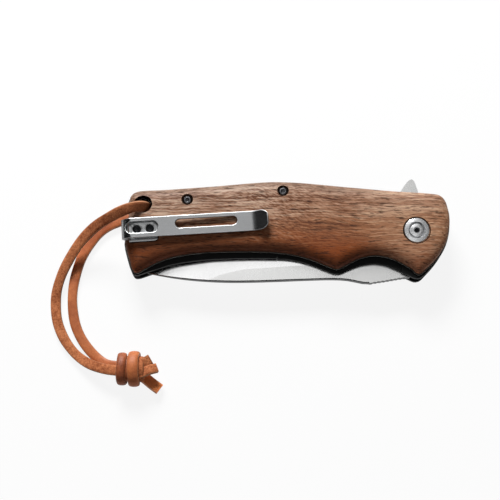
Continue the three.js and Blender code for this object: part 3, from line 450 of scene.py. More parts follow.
def cad_copy(node: str, name: str) -> bpy.types.Object:
    """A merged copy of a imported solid's mesh, with its flat faces whole again.

    Args:
        node: the solid's name.
        name: the copy's name.

    Returns:
        The object.
    """
    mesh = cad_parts[node].data.copy()
    mesh.name = name
    mesh.materials.clear()
    with opened(mesh, PACKED_MERGE_DISTANCE) as work:
        bmesh.ops.dissolve_limit(work, angle_limit=math.radians(PACKED_FLAT_ANGLE), verts=work.verts,
                                 edges=work.edges, delimit={"NORMAL"})
    return new_object(name, mesh)


def eased(node: str, name: str, edge: float, sharp_angle: float = SMOOTH_ANGLE, segments: int = 2,
          rim: int = 0, clamped: bool = True) -> bpy.types.Object:
    """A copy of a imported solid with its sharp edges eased.

    Args:
        node: the solid's name.
        name: the new piece's name.
        edge: the width of the eased edge.
        sharp_angle: only edges over this angle are eased.
        segments: steps across the eased edge.
        rim: the material number of the eased edges.
        clamped: narrows all eased edges where short ones would cross.

    Returns:
        The object.
    """
    piece = cad_copy(node, name)
    shade(piece, sharp_angle)
    bevel = piece.modifiers.new("eased edges", "BEVEL")
    bevel.width = edge * MM
    bevel.segments = segments
    bevel.limit_method = "ANGLE"
    bevel.angle_limit = math.radians(sharp_angle)
    bevel.harden_normals = True
    bevel.material = rim
    bevel.use_clamp_overlap = clamped
    return piece


def rim_loop(node: str, level: float) -> np.ndarray:
    """The outer edge of a solid's flat face, in order.

    Args:
        node: the solid's name.
        level: the face's height in millimetres.

    Returns:
        x and y of the edge's points, anticlockwise.
    """

    def on_level(face: bmesh.types.BMFace) -> bool:
        """Whether all of a face lies at the asked height."""
        return all(abs(v.co.z / MM - level) < 0.01 for v in face.verts)

    loops = []
    with opened(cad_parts[node].data, PACKED_MERGE_DISTANCE, write=False) as work:
        rim = [e for e in work.edges if sum(on_level(f) for f in e.link_faces) == 1]
        while rim:
            start, here = rim.pop().verts
            loop = [start, here]
            while here != start:
                edge = next(e for e in here.link_edges if e in rim)
                rim.remove(edge)
                here = edge.other_vert(here)
                loop.append(here)
            loops.append(np.array([v.co.xy for v in loop]) / MM)
    outer = max(loops, key=line_length)
    x, y = outer[:-1].T
    area = float(np.sum(x * np.roll(y, -1) - np.roll(x, -1) * y))
    return outer if area > 0 else outer[::-1]


# Shader maths


class Value:
    """A socket that takes part in Python arithmetic and adds a Math node for each operation."""

    def __init__(self, graph: "Graph", socket: bpy.types.NodeSocket) -> None:
        """Wraps a socket of a graph."""
        self.graph = graph
        self.socket = socket

    def _math(self, operation: str, *others: "Value | float", clamped: bool = False) -> "Value":
        """Adds one Math node with this value first."""
        return self.graph.math(operation, self, *others, clamped=clamped)

    def __add__(self, other: "Value | float") -> "Value":
        """self + other."""
        return self._math("ADD", other)

    def __radd__(self, other: float) -> "Value":
        """other + self."""
        return self._math("ADD", other)

    def __sub__(self, other: "Value | float") -> "Value":
        """self - other."""
        return self._math("SUBTRACT", other)

    def __rsub__(self, other: float) -> "Value":
        """other - self."""
        return self.graph.math("SUBTRACT", other, self)

    def __mul__(self, other: "Value | float") -> "Value":
        """self * other."""
        return self._math("MULTIPLY", other)

    def __rmul__(self, other: float) -> "Value":
        """other * self."""
        return self._math("MULTIPLY", other)

    def __truediv__(self, other: "Value | float") -> "Value":
        """self / other."""
        return self._math("DIVIDE", other)

    def __pow__(self, power: float) -> "Value":
        """self ** power."""
        return self._math("POWER", power)

    def __abs__(self) -> "Value":
        """The size of self."""
        return self._math("ABSOLUTE")

    def held(self) -> "Value":
        """self held between 0 and 1."""
        return self._math("ADD", 0.0, clamped=True)

    def swing(self, size: "Value | float") -> "Value":
        """How far a noise is from its middle, times a size."""
        return (self - 0.5) * size

    def ramp(self, low: float, high: float) -> "Value":
        """0 below low, 1 above high and smooth between them. low may be the larger."""
        node = self.graph.node("ShaderNodeMapRange", {"interpolation_type": "SMOOTHSTEP"},
                               {0: self, 1: low, 2: high, 3: 0.0, 4: 1.0})
        return Value(self.graph, node.outputs[0])

    def sine(self) -> "Value":
        """The sine of self in radians."""
        return self._math("SINE")


@dataclass(frozen=True)
class Pattern:
    """A fractal noise: its repeats to a millimetre along each axis, how detailed and rough it is, how
    far it is turned about z in degrees, and how much it is bent."""

    scale: tuple
    detail: float = 3.0
    rough: float = 0.55
    turn: float = 0.0
    bend: float = 0.0


class Graph:
    """The nodes that make the look of a material or of the world."""

    def __init__(self, owner: bpy.types.Material | bpy.types.World, output: str, shader: str) -> None:
        """Starts with one shader on the output.

        Args:
            owner: what the nodes belong to.
            output: the type of its output node.
            shader: the type of its shader node.
        """
        self.owner = owner
        owner.use_nodes = True
        self.tree = owner.node_tree
        self.tree.nodes.clear()
        self.output = self.node(output, {}, {})
        self.shader = self.node(shader, {}, {})
        self.show(self.shader)

    @classmethod
    def material(cls, name: str) -> "Graph":
        """A new material's nodes."""
        return cls(bpy.data.materials.new(name), "ShaderNodeOutputMaterial", "ShaderNodeBsdfPrincipled")

    @classmethod
    def world(cls, name: str) -> "Graph":
        """A new world's nodes."""
        return cls(bpy.data.worlds.new(name), "ShaderNodeOutputWorld", "ShaderNodeBackground")

    def show(self, node: bpy.types.Node) -> None:
        """Puts a shader on the output."""
        self.tree.links.new(node.outputs[0], self.output.inputs[0])

    def feed(self, socket: bpy.types.NodeSocket, value: object) -> None:
        """Links a Value or a socket to an input, or sets the input to a number, colour or vector.

        Args:
            socket: the input.
            value: what it takes.
        """
        source = value.socket if isinstance(value, Value) else value
        if isinstance(source, bpy.types.NodeSocket):
            self.tree.links.new(source, socket)
        else:
            socket.default_value = source

    def node(self, kind: str, settings: dict, sockets: dict) -> bpy.types.Node:
        """Adds a node.

        Args:
            kind: the node's type.
            settings: what is set on the node first.
            sockets: what its inputs hold, by name or number: a number, a colour, a vector or a Value.

        Returns:
            The node.
        """
        node = self.tree.nodes.new(kind)
        for key, value in settings.items():
            setattr(node, key, value)
        for key, value in sockets.items():
            self.feed(node.inputs[key], value)
        return node

    def set(self, **sockets: object) -> None:
        """Sets the shader's sockets. An underscore stands for a space."""
        for key, value in sockets.items():
            self.feed(self.shader.inputs[key.replace("_", " ")], value)

    def math(self, operation: str, *values: "Value | float", clamped: bool = False) -> Value:
        """Adds a Math node on one to three values."""
        settings = {"operation": operation, "use_clamp": clamped}
        return Value(self, self.node("ShaderNodeMath", settings, dict(enumerate(values))).outputs[0])

    def seen(self) -> Value:
        """Tells the rays that show a thing from those that carry its light to others.

        Returns:
            1 for what the camera, a mirror or glass sees, and 0 for the rest.
        """
        paths = self.node("ShaderNodeLightPath", {}, {})
        kinds = ("Camera", "Glossy", "Transmission")
        rays = [Value(self, paths.outputs[f"Is {kind} Ray"]) for kind in kinds]
        return sum(rays[1:], rays[0]).held()

    def places(self) -> bpy.types.NodeSocket:
        """The point on the object, in metres."""
        return self.node("ShaderNodeTexCoord", {}, {}).outputs["Object"]

    def along(self, axis: str) -> Value:
        """One coordinate of the point on the object, in millimetres."""
        split = self.node("ShaderNodeSeparateXYZ", {}, {0: self.places()})
        return Value(self, split.outputs[axis]) / MM

    def from_axis(self, x: float, y: float) -> Value:
        """The distance of the point on the object from an upright axis, in millimetres."""
        aside, ahead = self.along("X") - x, self.along("Y") - y
        return (aside * aside + ahead * ahead) ** 0.5

    def point(self, *millimetres: Value) -> bpy.types.NodeSocket:
        """The point with these coordinates, in metres."""
        sockets = {axis: value * MM for axis, value in enumerate(millimetres)}
        return self.node("ShaderNodeCombineXYZ", {}, sockets).outputs[0]

    def strip(self) -> tuple[Value, Value]:
        """Reads the strip attribute of a lace.

        Returns:
            The millimetres along the lace, and -1 to 1 across it.
        """
        read = self.node("ShaderNodeAttribute", {"attribute_name": STRIP}, {})
        split = self.node("ShaderNodeSeparateXYZ", {}, {0: read.outputs["Vector"]})
        return Value(self, split.outputs["X"]), Value(self, split.outputs["Y"])

    def noise(self, pattern: Pattern, source: bpy.types.NodeSocket | None = None) -> Value:
        """Fractal noise from 0 to 1, about 0.5. Its place is turned first and then stretched.

        Args:
            pattern: the kind of noise.
            source: a vector in metres to take in place of the point on the object.

        Returns:
            The noise.
        """
        place = self.node("ShaderNodeMapping", {"vector_type": "POINT"},
                          {0: source or self.places(), 2: (0, 0, math.radians(pattern.turn))})
        stretched = self.node("ShaderNodeVectorMath", {"operation": "MULTIPLY"},
                              {0: place.outputs[0], 1: [repeats / MM for repeats in pattern.scale]})
        node = self.node("ShaderNodeTexNoise", {}, {
            "Vector": stretched.outputs[0], "Scale": 1.0, "Detail": pattern.detail,
            "Roughness": pattern.rough, "Distortion": pattern.bend})
        return Value(self, node.outputs[0])

    def mix(self, share: "Value | float", first: object, second: object) -> bpy.types.NodeSocket:
        """Mixes two colours: the first where share is 0, the second where it is 1."""
        return self.node("ShaderNodeMix", {"data_type": "RGBA"}, {0: share, 6: first, 7: second}).outputs[2]

    def mix_shaders(self, share: Value, second: bpy.types.Node) -> None:
        """Shows the shader where share is 0 and another where it is 1."""
        self.show(self.node("ShaderNodeMixShader", {}, {
            0: share, 1: self.shader.outputs[0], 2: second.outputs[0]}))

    def bump(self, height: Value, depth: float, strength: float = 1.0) -> None:
        """Raises the surface, as far as its shading goes.

        Args:
            height: how high each point is, where 1 is the whole depth.
            depth: the depth in millimetres.
            strength: the share of it that shows.
        """
        sockets = {"Strength": strength, "Distance": depth * MM, "Height": height}
        node = self.node("ShaderNodeBump", {}, sockets)
        self.set(Normal=node.outputs[0])


# Finishes


@dataclass(frozen=True)
class Walnut:
    """Oiled walnut with its grain along the handle, open dark pores and a curl in its middle.

    Pairs of numbers are the ends of a change along x, along y or down from the face, in millimetres.
    """

    name: str = "oiled walnut"
    light: tuple = linear(202, 160, 126)
    middle: tuple = linear(146, 96, 64)
    dark: tuple = linear(88, 50, 30)
    pore: tuple = linear(40, 21, 13)
    # Warm wood low and pale wood high: partly the wood's tone, partly painted shade low and painted sheen
    # high.
    warm: tuple = linear(132, 62, 20)
    pale: tuple = linear(200, 176, 156)
    # Painted shade on the rounded rims: its colours below and above, and where it fades in and changes.
    low_rim_shade: tuple = linear(84, 42, 20)
    high_rim_shade: tuple = linear(106, 82, 66)
    middle_height: float = 7.9
    rim_shade_fade: tuple = (-0.06, -1.1)
    rim_shade_change: tuple = (-4.0, 4.0)
    curl_middle: float = -50.0
    curl_reach: float = 22.0
    nose: tuple = (-26.0, -4.0)
    chin: tuple = (-3.0, -11.0)
    slot_shade: tuple = ((-54.0, -42.0), (-15.0, -27.0))
    # Where the pale wood and its painted sheen grow towards the butt.
    pale_and_sheen_butt: tuple = (-36.0, -62.0)
    waves: Pattern = Pattern((0.018, 0.05, 0.05), 2.0)
    wave_height: float = 7.0
    ripples: Pattern = Pattern((0.11, 0.35, 0.3), 2.0)
    ripple_height: float = 1.7
    bands: Pattern = Pattern((0.013, 0.2, 0.2), rough=0.6)
    streaks: Pattern = Pattern((0.09, 1.45, 0.9), 4.0, 0.7)
    fibres: Pattern = Pattern((0.16, 3.6, 2.8), rough=0.6)
    flecks: Pattern = Pattern((0.42, 1.5, 1.2), 2.0, turn=30.0)
    dashes: Pattern = Pattern((0.22, 1.9, 1.3), 2.0, 0.5)
    pricks: Pattern = Pattern((0.42, 3.1, 2.3), 2.0, 0.5)

    def make(self) -> bpy.types.Material:
        """Streaks, pores and painted shade on the rounded rims over one wavy grain, whose y swings with
        the waves and ripples.

        Returns:
            The material.
        """
        g = Graph.material(self.name)
        x = g.along("X")
        y = g.along("Y") + g.noise(self.waves).swing(self.wave_height)
        y = y + g.noise(self.ripples).swing(self.ripple_height)
        grain = g.point(x, y, g.along("Z"))
        fibres = g.noise(self.fibres, grain)
        nose = x.ramp(*self.nose)
        colour = self.browns(g, x, y, grain, fibres)
        # Painted shade on the rounded rims: browner below, greyer above, and faint on the nose.
        above = abs(g.along("Z") - self.middle_height) - self.middle_height
        rim = above.ramp(*self.rim_shade_fade)
        edge = g.mix(y.ramp(*self.rim_shade_change), self.low_rim_shade, self.high_rim_shade)
        colour = g.mix(rim * (1 - nose * 0.85) * 0.6, colour, edge)
        dashes = g.noise(self.dashes, grain).ramp(0.57, 0.67)
        pricks = g.noise(self.pricks, grain).ramp(0.56, 0.66)
        pits = (dashes * 0.85 + pricks * 0.65).held()
        g.set(Base_Color=g.mix(pits * 0.78, colour, self.pore), Specular_IOR_Level=0.2,
              Roughness=0.47 + pits * 0.3 + fibres.swing(0.16))
        g.bump(fibres * 0.25 - pits, 0.05, 0.8)
        return g.owner

    def browns(self, g: Graph, x: Value, y: Value, grain: bpy.types.NodeSocket,
               fibres: Value) -> bpy.types.NodeSocket:
        """The wood without pores: dark, middle and light streaks, warm wood low and pale wood high, the warm
        partly painted shade and the pale partly painted sheen.

        The tone is a middle grey, lighter on the nose and its chin and darker above the slot, plus the
        swings of the bands, streaks, fibres and flecks, which are strongest in the curl.

        Args:
            g: the material's nodes.
            x, y: the point's place in the grain, in millimetres.
            grain: the same place as a vector in metres.
            fibres: the finest noise.

        Returns:
            The colour.
        """
        bands, streaks = g.noise(self.bands, grain), g.noise(self.streaks, grain)
        flecks = g.noise(self.flecks)
        curl = (abs(x - self.curl_middle) / self.curl_reach).ramp(1.0, 0.2)
        # The upper wood towards the butt, where the pale wood with its painted sheen goes.
        high = (y * 0.06 - x * 0.004 - 0.28 + bands.swing(0.8)).ramp(-0.1, 0.7)
        nose = x.ramp(*self.nose)
        chin = nose * y.ramp(*self.chin)
        shade = x.ramp(*self.slot_shade[0]) * x.ramp(*self.slot_shade[1])
        tone = 0.48 + nose * 0.12 + chin * 0.14 - shade * 0.08
        tone = tone + bands.swing(1.1) + streaks.swing(1.35 + high * 0.55)
        tone = tone + fibres.swing(0.95) + flecks.swing(0.25 + curl * 0.8)
        colour = g.mix(tone.ramp(0.1, 0.52), self.dark, self.middle)
        colour = g.mix(tone.ramp(0.48, 0.98), colour, self.light)
        # Warmer and darker towards -y: partly the wood's tone, partly painted shade.
        warmth_and_shade = (0.47 - y * 0.05 - nose * 0.34 + bands.swing(0.8)).ramp(0.2, 1.0)
        colour = g.mix(warmth_and_shade * 0.84, colour, self.warm)
        # Paler high and towards the butt: partly the wood's tone, partly painted sheen.
        pale_and_sheen_share = high * tone.ramp(0.2, 0.7) * (0.4 + x.ramp(*self.pale_and_sheen_butt) * 0.36)
        return g.mix(pale_and_sheen_share + nose * 0.06, colour, self.pale)


@dataclass(frozen=True)
class Steel:
    """Bare steel with marks of its grinding or tumbling.

    With a ring size, fine turning grooves run round the handle's origin. With a hole shade, which is a
    place and a radius, the steel is painted black there, as shade.
    """

    name: str
    colour: tuple
    rough: float
    marks: tuple = (0.3, 3.0, 3.0)
    mark_turn: float = 0.0
    mark_depth: float = 0.006
    mark_share: float = 0.12
    stain: float = 0.12
    ring: float = 0.0
    ring_depth: float = 0.07
    hole_shade: tuple | None = None
    clouds: Pattern = Pattern((0.09, 0.12, 0.12))
    # The colour of the painted shade in a hole.
    black: tuple = (0.003, 0.003, 0.003, 1)

    def make(self) -> bpy.types.Material:
        """Fine marks that change its gloss and its shade a little, over slow cloudy stains.

        Returns:
            The material.
        """
        g = Graph.material(self.name)
        marks = g.noise(Pattern(self.marks, 4.0, 0.65, self.mark_turn))
        clouds = g.noise(self.clouds)
        stained = (marks.swing(1.2) + clouds.swing(1.4) + 0.5).held()
        colour = g.mix(stained, self.colour, dimmed(self.colour, 1 - 2 * self.stain))
        # Painted shade: black within a radius of a hole's axis.
        if self.hole_shade:
            x, y, radius = self.hole_shade
            colour = g.mix(g.from_axis(x, y).ramp(radius + 0.4, radius), colour, self.black)
        g.set(Base_Color=colour, Metallic=1.0,
              Roughness=self.rough + marks.swing(self.mark_share) + clouds.swing(0.08))
        if self.ring:
            groove = (g.from_axis(0.0, 0.0) * (2 * math.pi / self.ring)).sine()
            g.bump(groove * 0.5 + marks * 0.2, self.ring * self.ring_depth, 0.8)
        else:
            g.bump(marks, self.mark_depth, 0.7)
        return g.owner


@dataclass(frozen=True)
class Coated:
    """A matt dark coating, worn a little paler in places."""

    name: str
    colour: tuple
    worn: tuple
    rough: float = 0.5
    specular: float = 0.5
    grit: Pattern = Pattern((4.0, 4.0, 4.0), 2.0)
    clouds: Pattern = Pattern((0.15, 0.3, 0.3))

    def make(self) -> bpy.types.Material:
        """Fine grit in the coating and faint paler clouds.

        Returns:
            The material.
        """
        g = Graph.material(self.name)
        grit = g.noise(self.grit)
        colour = g.mix(g.noise(self.clouds).ramp(0.45, 0.8) * 0.6, self.colour, self.worn)
        g.set(Base_Color=colour, Specular_IOR_Level=self.specular, Roughness=self.rough + grit.swing(0.2))
        g.bump(grit, 0.01, 0.5)
        return g.owner


@dataclass(frozen=True)
class Leather:
    """A strip of tan leather, on its rough or its smooth side, with paler cut edges."""

    name: str
    light: tuple
    dark: tuple
    rough: float
    nap: float
    pores: float
    # The darkened start of the strip, in the lace's hole: partly rubbed leather, partly painted shade.
    rubbed_and_shaded: float = 0.0
    cut: tuple = linear(172, 128, 96)
    rubbed_and_shaded_end: tuple = (17.0, 10.0)
    deep: float = 0.45
    stretches: Pattern = Pattern((0.06, 0.1, 1.0), rough=0.6)
    clouds: Pattern = Pattern((0.3, 0.3, 0.3), rough=0.6)
    grain: Pattern = Pattern((2.2, 2.2, 2.2), rough=0.7)
    fuzz: Pattern = Pattern((1.1, 1.1, 1.1), 4.0, 0.75, bend=0.6)

    def make(self) -> bpy.types.Material:
        """Slow stretches of darker dye along the strip, fine grain or nap, pale edges, and a darker start
        that is partly rubbed leather and partly painted shade.

        Returns:
            The material.
        """
        g = Graph.material(self.name)
        along, across = g.strip()
        stretches = g.noise(self.stretches, g.point(along, across))
        grain, fuzz = g.noise(self.grain), g.noise(self.fuzz)
        dye = 0.45 + stretches.swing(2.4) + g.noise(self.clouds).swing(1.2)
        dye = dye + fuzz.swing(self.nap * 3.4) + grain.swing(0.6)
        colour = g.mix(dye.held(), self.light, self.dark)
        deep = dimmed(self.dark, self.deep)
        colour = g.mix(grain.ramp(0.56, 0.7) * self.pores, colour, deep)
        # Darker near the strip's start, in the lace's hole: partly rubbing, partly painted shade.
        colour = g.mix((abs(along) + stretches.swing(6.0)).ramp(*self.rubbed_and_shaded_end) * self.rubbed_and_shaded, colour, deep)
        edge = (abs(across) + grain.swing(0.12)).ramp(0.84, 0.95)
        g.set(Base_Color=g.mix(edge * 0.55, colour, self.cut), Roughness=self.rough + fuzz.swing(0.2),
              Specular_IOR_Level=0.3)
        g.bump(fuzz * self.nap + grain * 0.3, 0.12, 0.7)
        return g.owner


# Painted shade in the lace's hole: its axis and radius.
LACE_HOLE_SHADE = (*LACE_HOLE, 3.9)
ACROSS_THE_BLADE = (2.4, 0.35, 2.0)

WALNUT = Walnut().make()
# Darker and lighter copies of one steel: painted shade on the sheet's face, painted highlight on its edge.
SATIN_SHEET = Steel("satin sheet", linear(84, 80, 76), 0.4, hole_shade=LACE_HOLE_SHADE).make()
SATIN_EDGE = Steel("satin sheet edge", linear(206, 202, 194), 0.3, hole_shade=LACE_HOLE_SHADE).make()
BLACK_COAT = Coated("black liner coating", linear(17, 18, 18), linear(30, 30, 30), specular=0.1).make()
BLACK_SPACER = Coated("black spacer", linear(16, 16, 17), linear(26, 26, 27), 0.7, 0.04).make()
# Painted shade: the near-black wall of the lace's hole in the wood and the liners.
BORE_SHADE = Coated("dark wall of the lace's hole", linear(24, 11, 5), linear(36, 18, 9), 0.9, 0.0).make()
BLADE_STEEL = Steel("ground blade steel", linear(230, 230, 229), 0.28, ACROSS_THE_BLADE,
                    mark_depth=0.003, mark_share=0.08, stain=0.03).make()
# A lighter copy of the blade steel for the tilted faces: painted highlight.
BEVEL_HIGHLIGHT_STEEL = Steel("ground bevel steel", linear(250, 250, 250), 0.22, ACROSS_THE_BLADE,
                    mark_depth=0.003, mark_share=0.08, stain=0.02).make()
# A darker copy for the upright faces: the rough grind is real, the darkness is painted shade.
SPINE_GRIND_AND_SHADE = Steel("rough ground spine", linear(72, 72, 73), 0.42, (2.4, 0.5, 2.4)).make()
TURNED_STEEL = Steel("turned bright steel", linear(232, 233, 234), 0.2, (1.5, 1.5, 1.5),
                     mark_depth=0.003, mark_share=0.1, stain=0.04, ring=0.16).make()
# Painted shade in the pivot screw's drive recess.
RECESS_SHADE_STEEL = Steel("dark drive recess", linear(46, 46, 48), 0.4).make()
CLIP_STEEL = Steel("tumbled clip steel", linear(158, 159, 160), 0.23, (0.12, 2.6, 2.0), mark_turn=-4.0,
                   mark_depth=0.004, mark_share=0.1, stain=0.05).make()
# A lighter copy of the clip steel for the eased edges: painted highlight.
RIM_HIGHLIGHT_STEEL = Steel("bright edge highlight", linear(208, 209, 210), 0.34).make()
DARK_STEEL = Steel("dark screw steel", linear(92, 92, 94), 0.34).make()
CLIP_SCREW_STEEL = Steel("dark clip screw steel", linear(44, 45, 47), 0.34).make()
BRONZE = Steel("bronze washer", linear(186, 142, 84), 0.4).make()
SUEDE = Leather("rough side of the lace", linear(206, 128, 82), linear(132, 66, 32), 0.85, 0.7, 0.5,
                rubbed_and_shaded=0.38).make()
SMOOTH_LEATHER = Leather("smooth side of the lace", linear(200, 118, 70), linear(146, 74, 40), 0.5, 0.15,
                         0.15).make()
RED_LEATHER = Leather("redder side of the lace", linear(190, 108, 68), linear(124, 62, 34), 0.5, 0.3,
                      0.3).make()
# A lighter copy of the smooth side for the lower loose end: painted light where the knot shades it.
TAIL_PAINTED_LIGHT_LEATHER = Leather("orange side of the lace", linear(244, 146, 84), linear(190, 98, 50), 0.5, 0.3, 0.2,
                       cut=linear(226, 160, 124)).make()


def dress(piece: bpy.types.Object, node: str, body: Body, slot: Slot, *finishes: bpy.types.Material) -> None:
    """Gives a piece its finishes and its body, and hides the solid that it stands for.

    Args:
        piece: the object.
        node: the solid that it stands for.
        body: what it moves with.
        slot: not used.
        finishes: the finish of its faces, and then those of faces whose material number is 1 or more.
    """
    numbers = np.empty(len(piece.data.polygons), dtype=np.int32)
    piece.data.polygons.foreach_get("material_index", numbers)
    piece.data.materials.clear()
    for finish in finishes:
        piece.data.materials.append(finish)
    number_faces(piece, numbers)
    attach(piece, body.value)
    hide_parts(node)
    LOG.info("%s: %d faces, for %s", piece.name, len(numbers), node)


def mark_bore(piece: bpy.types.Object, centre: tuple, radius: float) -> None:
    """Gives material number 1 to the wall of a hole.

    Args:
        piece: the object.
        centre: x and y of the hole's axis.
        radius: upright faces nearer to the axis than this are its wall.
    """
    steep = 0.7
    away = np.linalg.norm(of_faces(piece, "center")[:, :2] / MM - centre, axis=1)
    upright = np.abs(of_faces(piece, "normal")[:, 2]) < steep
    number_faces(piece, (away < radius) & upright)


def dress_node(node: str, finish: bpy.types.Material) -> None:
    """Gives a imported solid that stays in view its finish.

    Args:
        node: the solid's name.
        finish: its finish.
    """
    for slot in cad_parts[node].material_slots:
        slot.link = "OBJECT"
        slot.material = finish
    LOG.info("%s: kept as packed", node)


# The knife


@dataclass
class Stack:
    """Heights of the layers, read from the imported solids, in millimetres."""

    wood: float = field(init=False)
    clip_wood: float = field(init=False)
    top: float = field(init=False)

    def __post_init__(self) -> None:
        """Reads the heights."""
        self.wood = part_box("show_side_scale")[1].z / MM
        self.clip_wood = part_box("clip_side_scale")[0].z / MM
        self.top = self.clip_wood + self.wood


@dataclass
class WoodScales:
    """The two walnut scales: flat in the middle, crowned beside it and rounded at the rim."""

    stack: Stack
    flat_half_width: float = 4.5
    crown_radius: float = 60.0
    rim_width: float = 4.6
    rim_drop: float = 2.3
    least_wood: float = 1.2
    butt_rise: float = 2.9
    rise_start: float = -93.5
    rise_end: float = -104.3
    medial_ends: tuple = (-92.0, -4.0)
    edge_step: float = 0.4
    fine_step: float = 0.1
    rim_rows: int = 26
    rim_share: float = 0.6
    rim_crowding: float = 2.2
    middle_rows: int = 9
    middle_merge: float = 0.02
    chunks: int = 12
    pivot_bore: float = 5.2
    screw_bore: float = 2.2
    screw_way: float = 1.3
    screw_floor: float = 1.6
    screws: tuple = ((-49.5, 15.45), (-85.3, 12.0))
    lanyard: tuple = (-101.8, 10.15)
    lanyard_bore: float = 3.42

    def outline(self, node: str, level: float) -> np.ndarray:
        """The scale's edge in even steps, rounded between the solid's corners.

        Between the ends of the middle line, the points of the lower and the upper edge lie at the same x.

        Args:
            node: the solid whose edge it is.
            level: the height of the edge.

        Returns:
            x and y, anticlockwise, from the lower left.
        """
        line = self.closed_line(rim_loop(node, level)[:-1])
        left, right = self.medial_ends
        below = (line[:, 0] >= left) & (line[:, 1] < 0)
        line = np.roll(line, -int(np.argmin(np.where(below, line[:, 0], np.inf))), axis=0)
        middle = (line[:, 0] > left) & (line[:, 0] < right)
        stations = np.linspace(left, right, int((right - left) / self.edge_step))
        sides = []
        for side in (line[middle & (line[:, 1] < 0)], line[middle & (line[:, 1] > 0)]):
            side = side[np.argsort(side[:, 0])]
            sides.append(np.stack([stations, np.interp(stations, *side.T)], axis=1))
        lower, upper = sides
        nose = np.vstack([lower[-1:], line[line[:, 0] > right], upper[-1:]])
        butt = np.vstack([upper[:1], line[line[:, 0] < left], lower[:1]])
        return np.vstack([lower, even_steps(nose, self.edge_step)[1:-1], upper[::-1],
                          even_steps(butt, self.edge_step)[1:-1]])

    def closed_line(self, corners: np.ndarray) -> np.ndarray:
        """A smooth closed line through corners: an open one that overlaps itself, cut at the first corner.

        Args:
            corners: the corners in order, one a row.

        Returns:
            Its points from the first corner round to it.
        """
        overlap = 6
        line = smooth_line(np.vstack([corners[-overlap:], corners, corners[:overlap + 1]]), self.fine_step)
        away = np.linalg.norm(line - corners[0], axis=1)
        half = len(line) // 2
        return line[int(np.argmin(away[:half])):half + int(np.argmin(away[half:]))]

    def middle_line(self, outline: np.ndarray, x: np.ndarray) -> np.ndarray:
        """The height half way between the two edges.

        Args:
            outline: the scale's edge.
            x: where it is asked.

        Returns:
            y at each x.
        """
        left, right = self.medial_ends
        middle = outline[(outline[:, 0] >= left) & (outline[:, 0] <= right)]
        lower, upper = middle[middle[:, 1] < 0], middle[middle[:, 1] > 0][::-1]
        return (np.interp(x, *upper.T) + np.interp(x, *lower.T)) / 2

    def drop(self, places: np.ndarray, outline: np.ndarray, rise: float) -> np.ndarray:
        """How far the face lies below its highest plane.

        The crown is v²/2R beyond the flat band, the rim is a quarter ellipse of the distance to the
        edge, and the butt's rise is a smooth step along x.

        Args:
            places: x and y on the face.
            outline: the scale's edge.
            rise: how far its butt end is taken back.

        Returns:
            The drop at each place.
        """
        x, y = places[..., 0], places[..., 1]
        beside = np.maximum(0, np.abs(y - self.middle_line(outline, x)) - self.flat_half_width)
        crown = beside**2 / (2 * self.crown_radius)
        inside = np.minimum(self.edge_distance(places, outline), self.rim_width)
        rim = self.rim_drop * (1 - np.sqrt(np.maximum(0, 1 - (1 - inside / self.rim_width) ** 2)))
        climb = smooth_step(-x, -self.rise_start, -self.rise_end)
        return np.minimum(np.maximum(crown + rim, rise * climb), self.stack.wood - self.least_wood)

    def edge_distance(self, places: np.ndarray, outline: np.ndarray) -> np.ndarray:
        """The distance to the outline, taken to its straight stretches a few at a time.

        Args:
            places: x and y on the face.
            outline: the scale's edge.

        Returns:
            The distance from each place.
        """
        step = np.roll(outline, -1, axis=0) - outline
        flat = places.reshape(-1, 2)
        least = np.full(len(flat), np.inf)
        for chunk in np.array_split(np.arange(len(outline)), self.chunks):
            offset = flat[:, None] - outline[chunk]
            share = np.clip((offset * step[chunk]).sum(-1) / (step[chunk] ** 2).sum(-1), 0, 1)
            near = np.linalg.norm(offset - share[..., None] * step[chunk], axis=-1).min(axis=1)
            least = np.minimum(least, near)
        return least.reshape(places.shape[:-1])

    def build_scale(self, node: str, name: str, level: float, up: bool, rise: float) -> bpy.types.Object:
        """One scale, made of rings round the middle line.

        Each ring is medial + (outline - medial) * reach. Two rings make the flat inner face, and the
        reach of the others falls from 1 over the rim, in steps that grow towards the middle, to 0.

        Args:
            node: the solid that it stands for.
            name: its name.
            level: the height of its inner face.
            up: whether its outer face is the upper one.
            rise: how far its butt end is taken back.

        Returns:
            The object.
        """
        outline = self.outline(node, level)
        medial_x = np.clip(outline[:, 0], *self.medial_ends)
        medial = np.stack([medial_x, self.middle_line(outline, medial_x)], axis=1)
        over_rim = 1 - np.linspace(0, 1, self.rim_rows) ** self.rim_crowding * self.rim_share
        reach = np.concatenate([over_rim, np.linspace(1 - self.rim_share, 0, self.middle_rows)[1:]])
        face = medial + (outline - medial) * reach[:, None, None]
        outer = self.stack.wood - self.drop(face, outline, rise)
        height = np.concatenate([np.zeros((2, len(outline))), outer])
        grid = np.dstack([np.concatenate([[medial, outline], face]), level + (height if up else -height)])
        return ring_surface(name, grid, merge=self.middle_merge)

    def counterbore(self, centre: tuple, up: bool, level: float) -> bpy.types.Object:
        """The cutter of a screw's head, from its floor out through the face."""
        low, high = (self.screw_floor, CUTTER_REACH) if up else (-CUTTER_REACH, -self.screw_floor)
        return bore(centre, self.screw_bore, level + low, level + high)

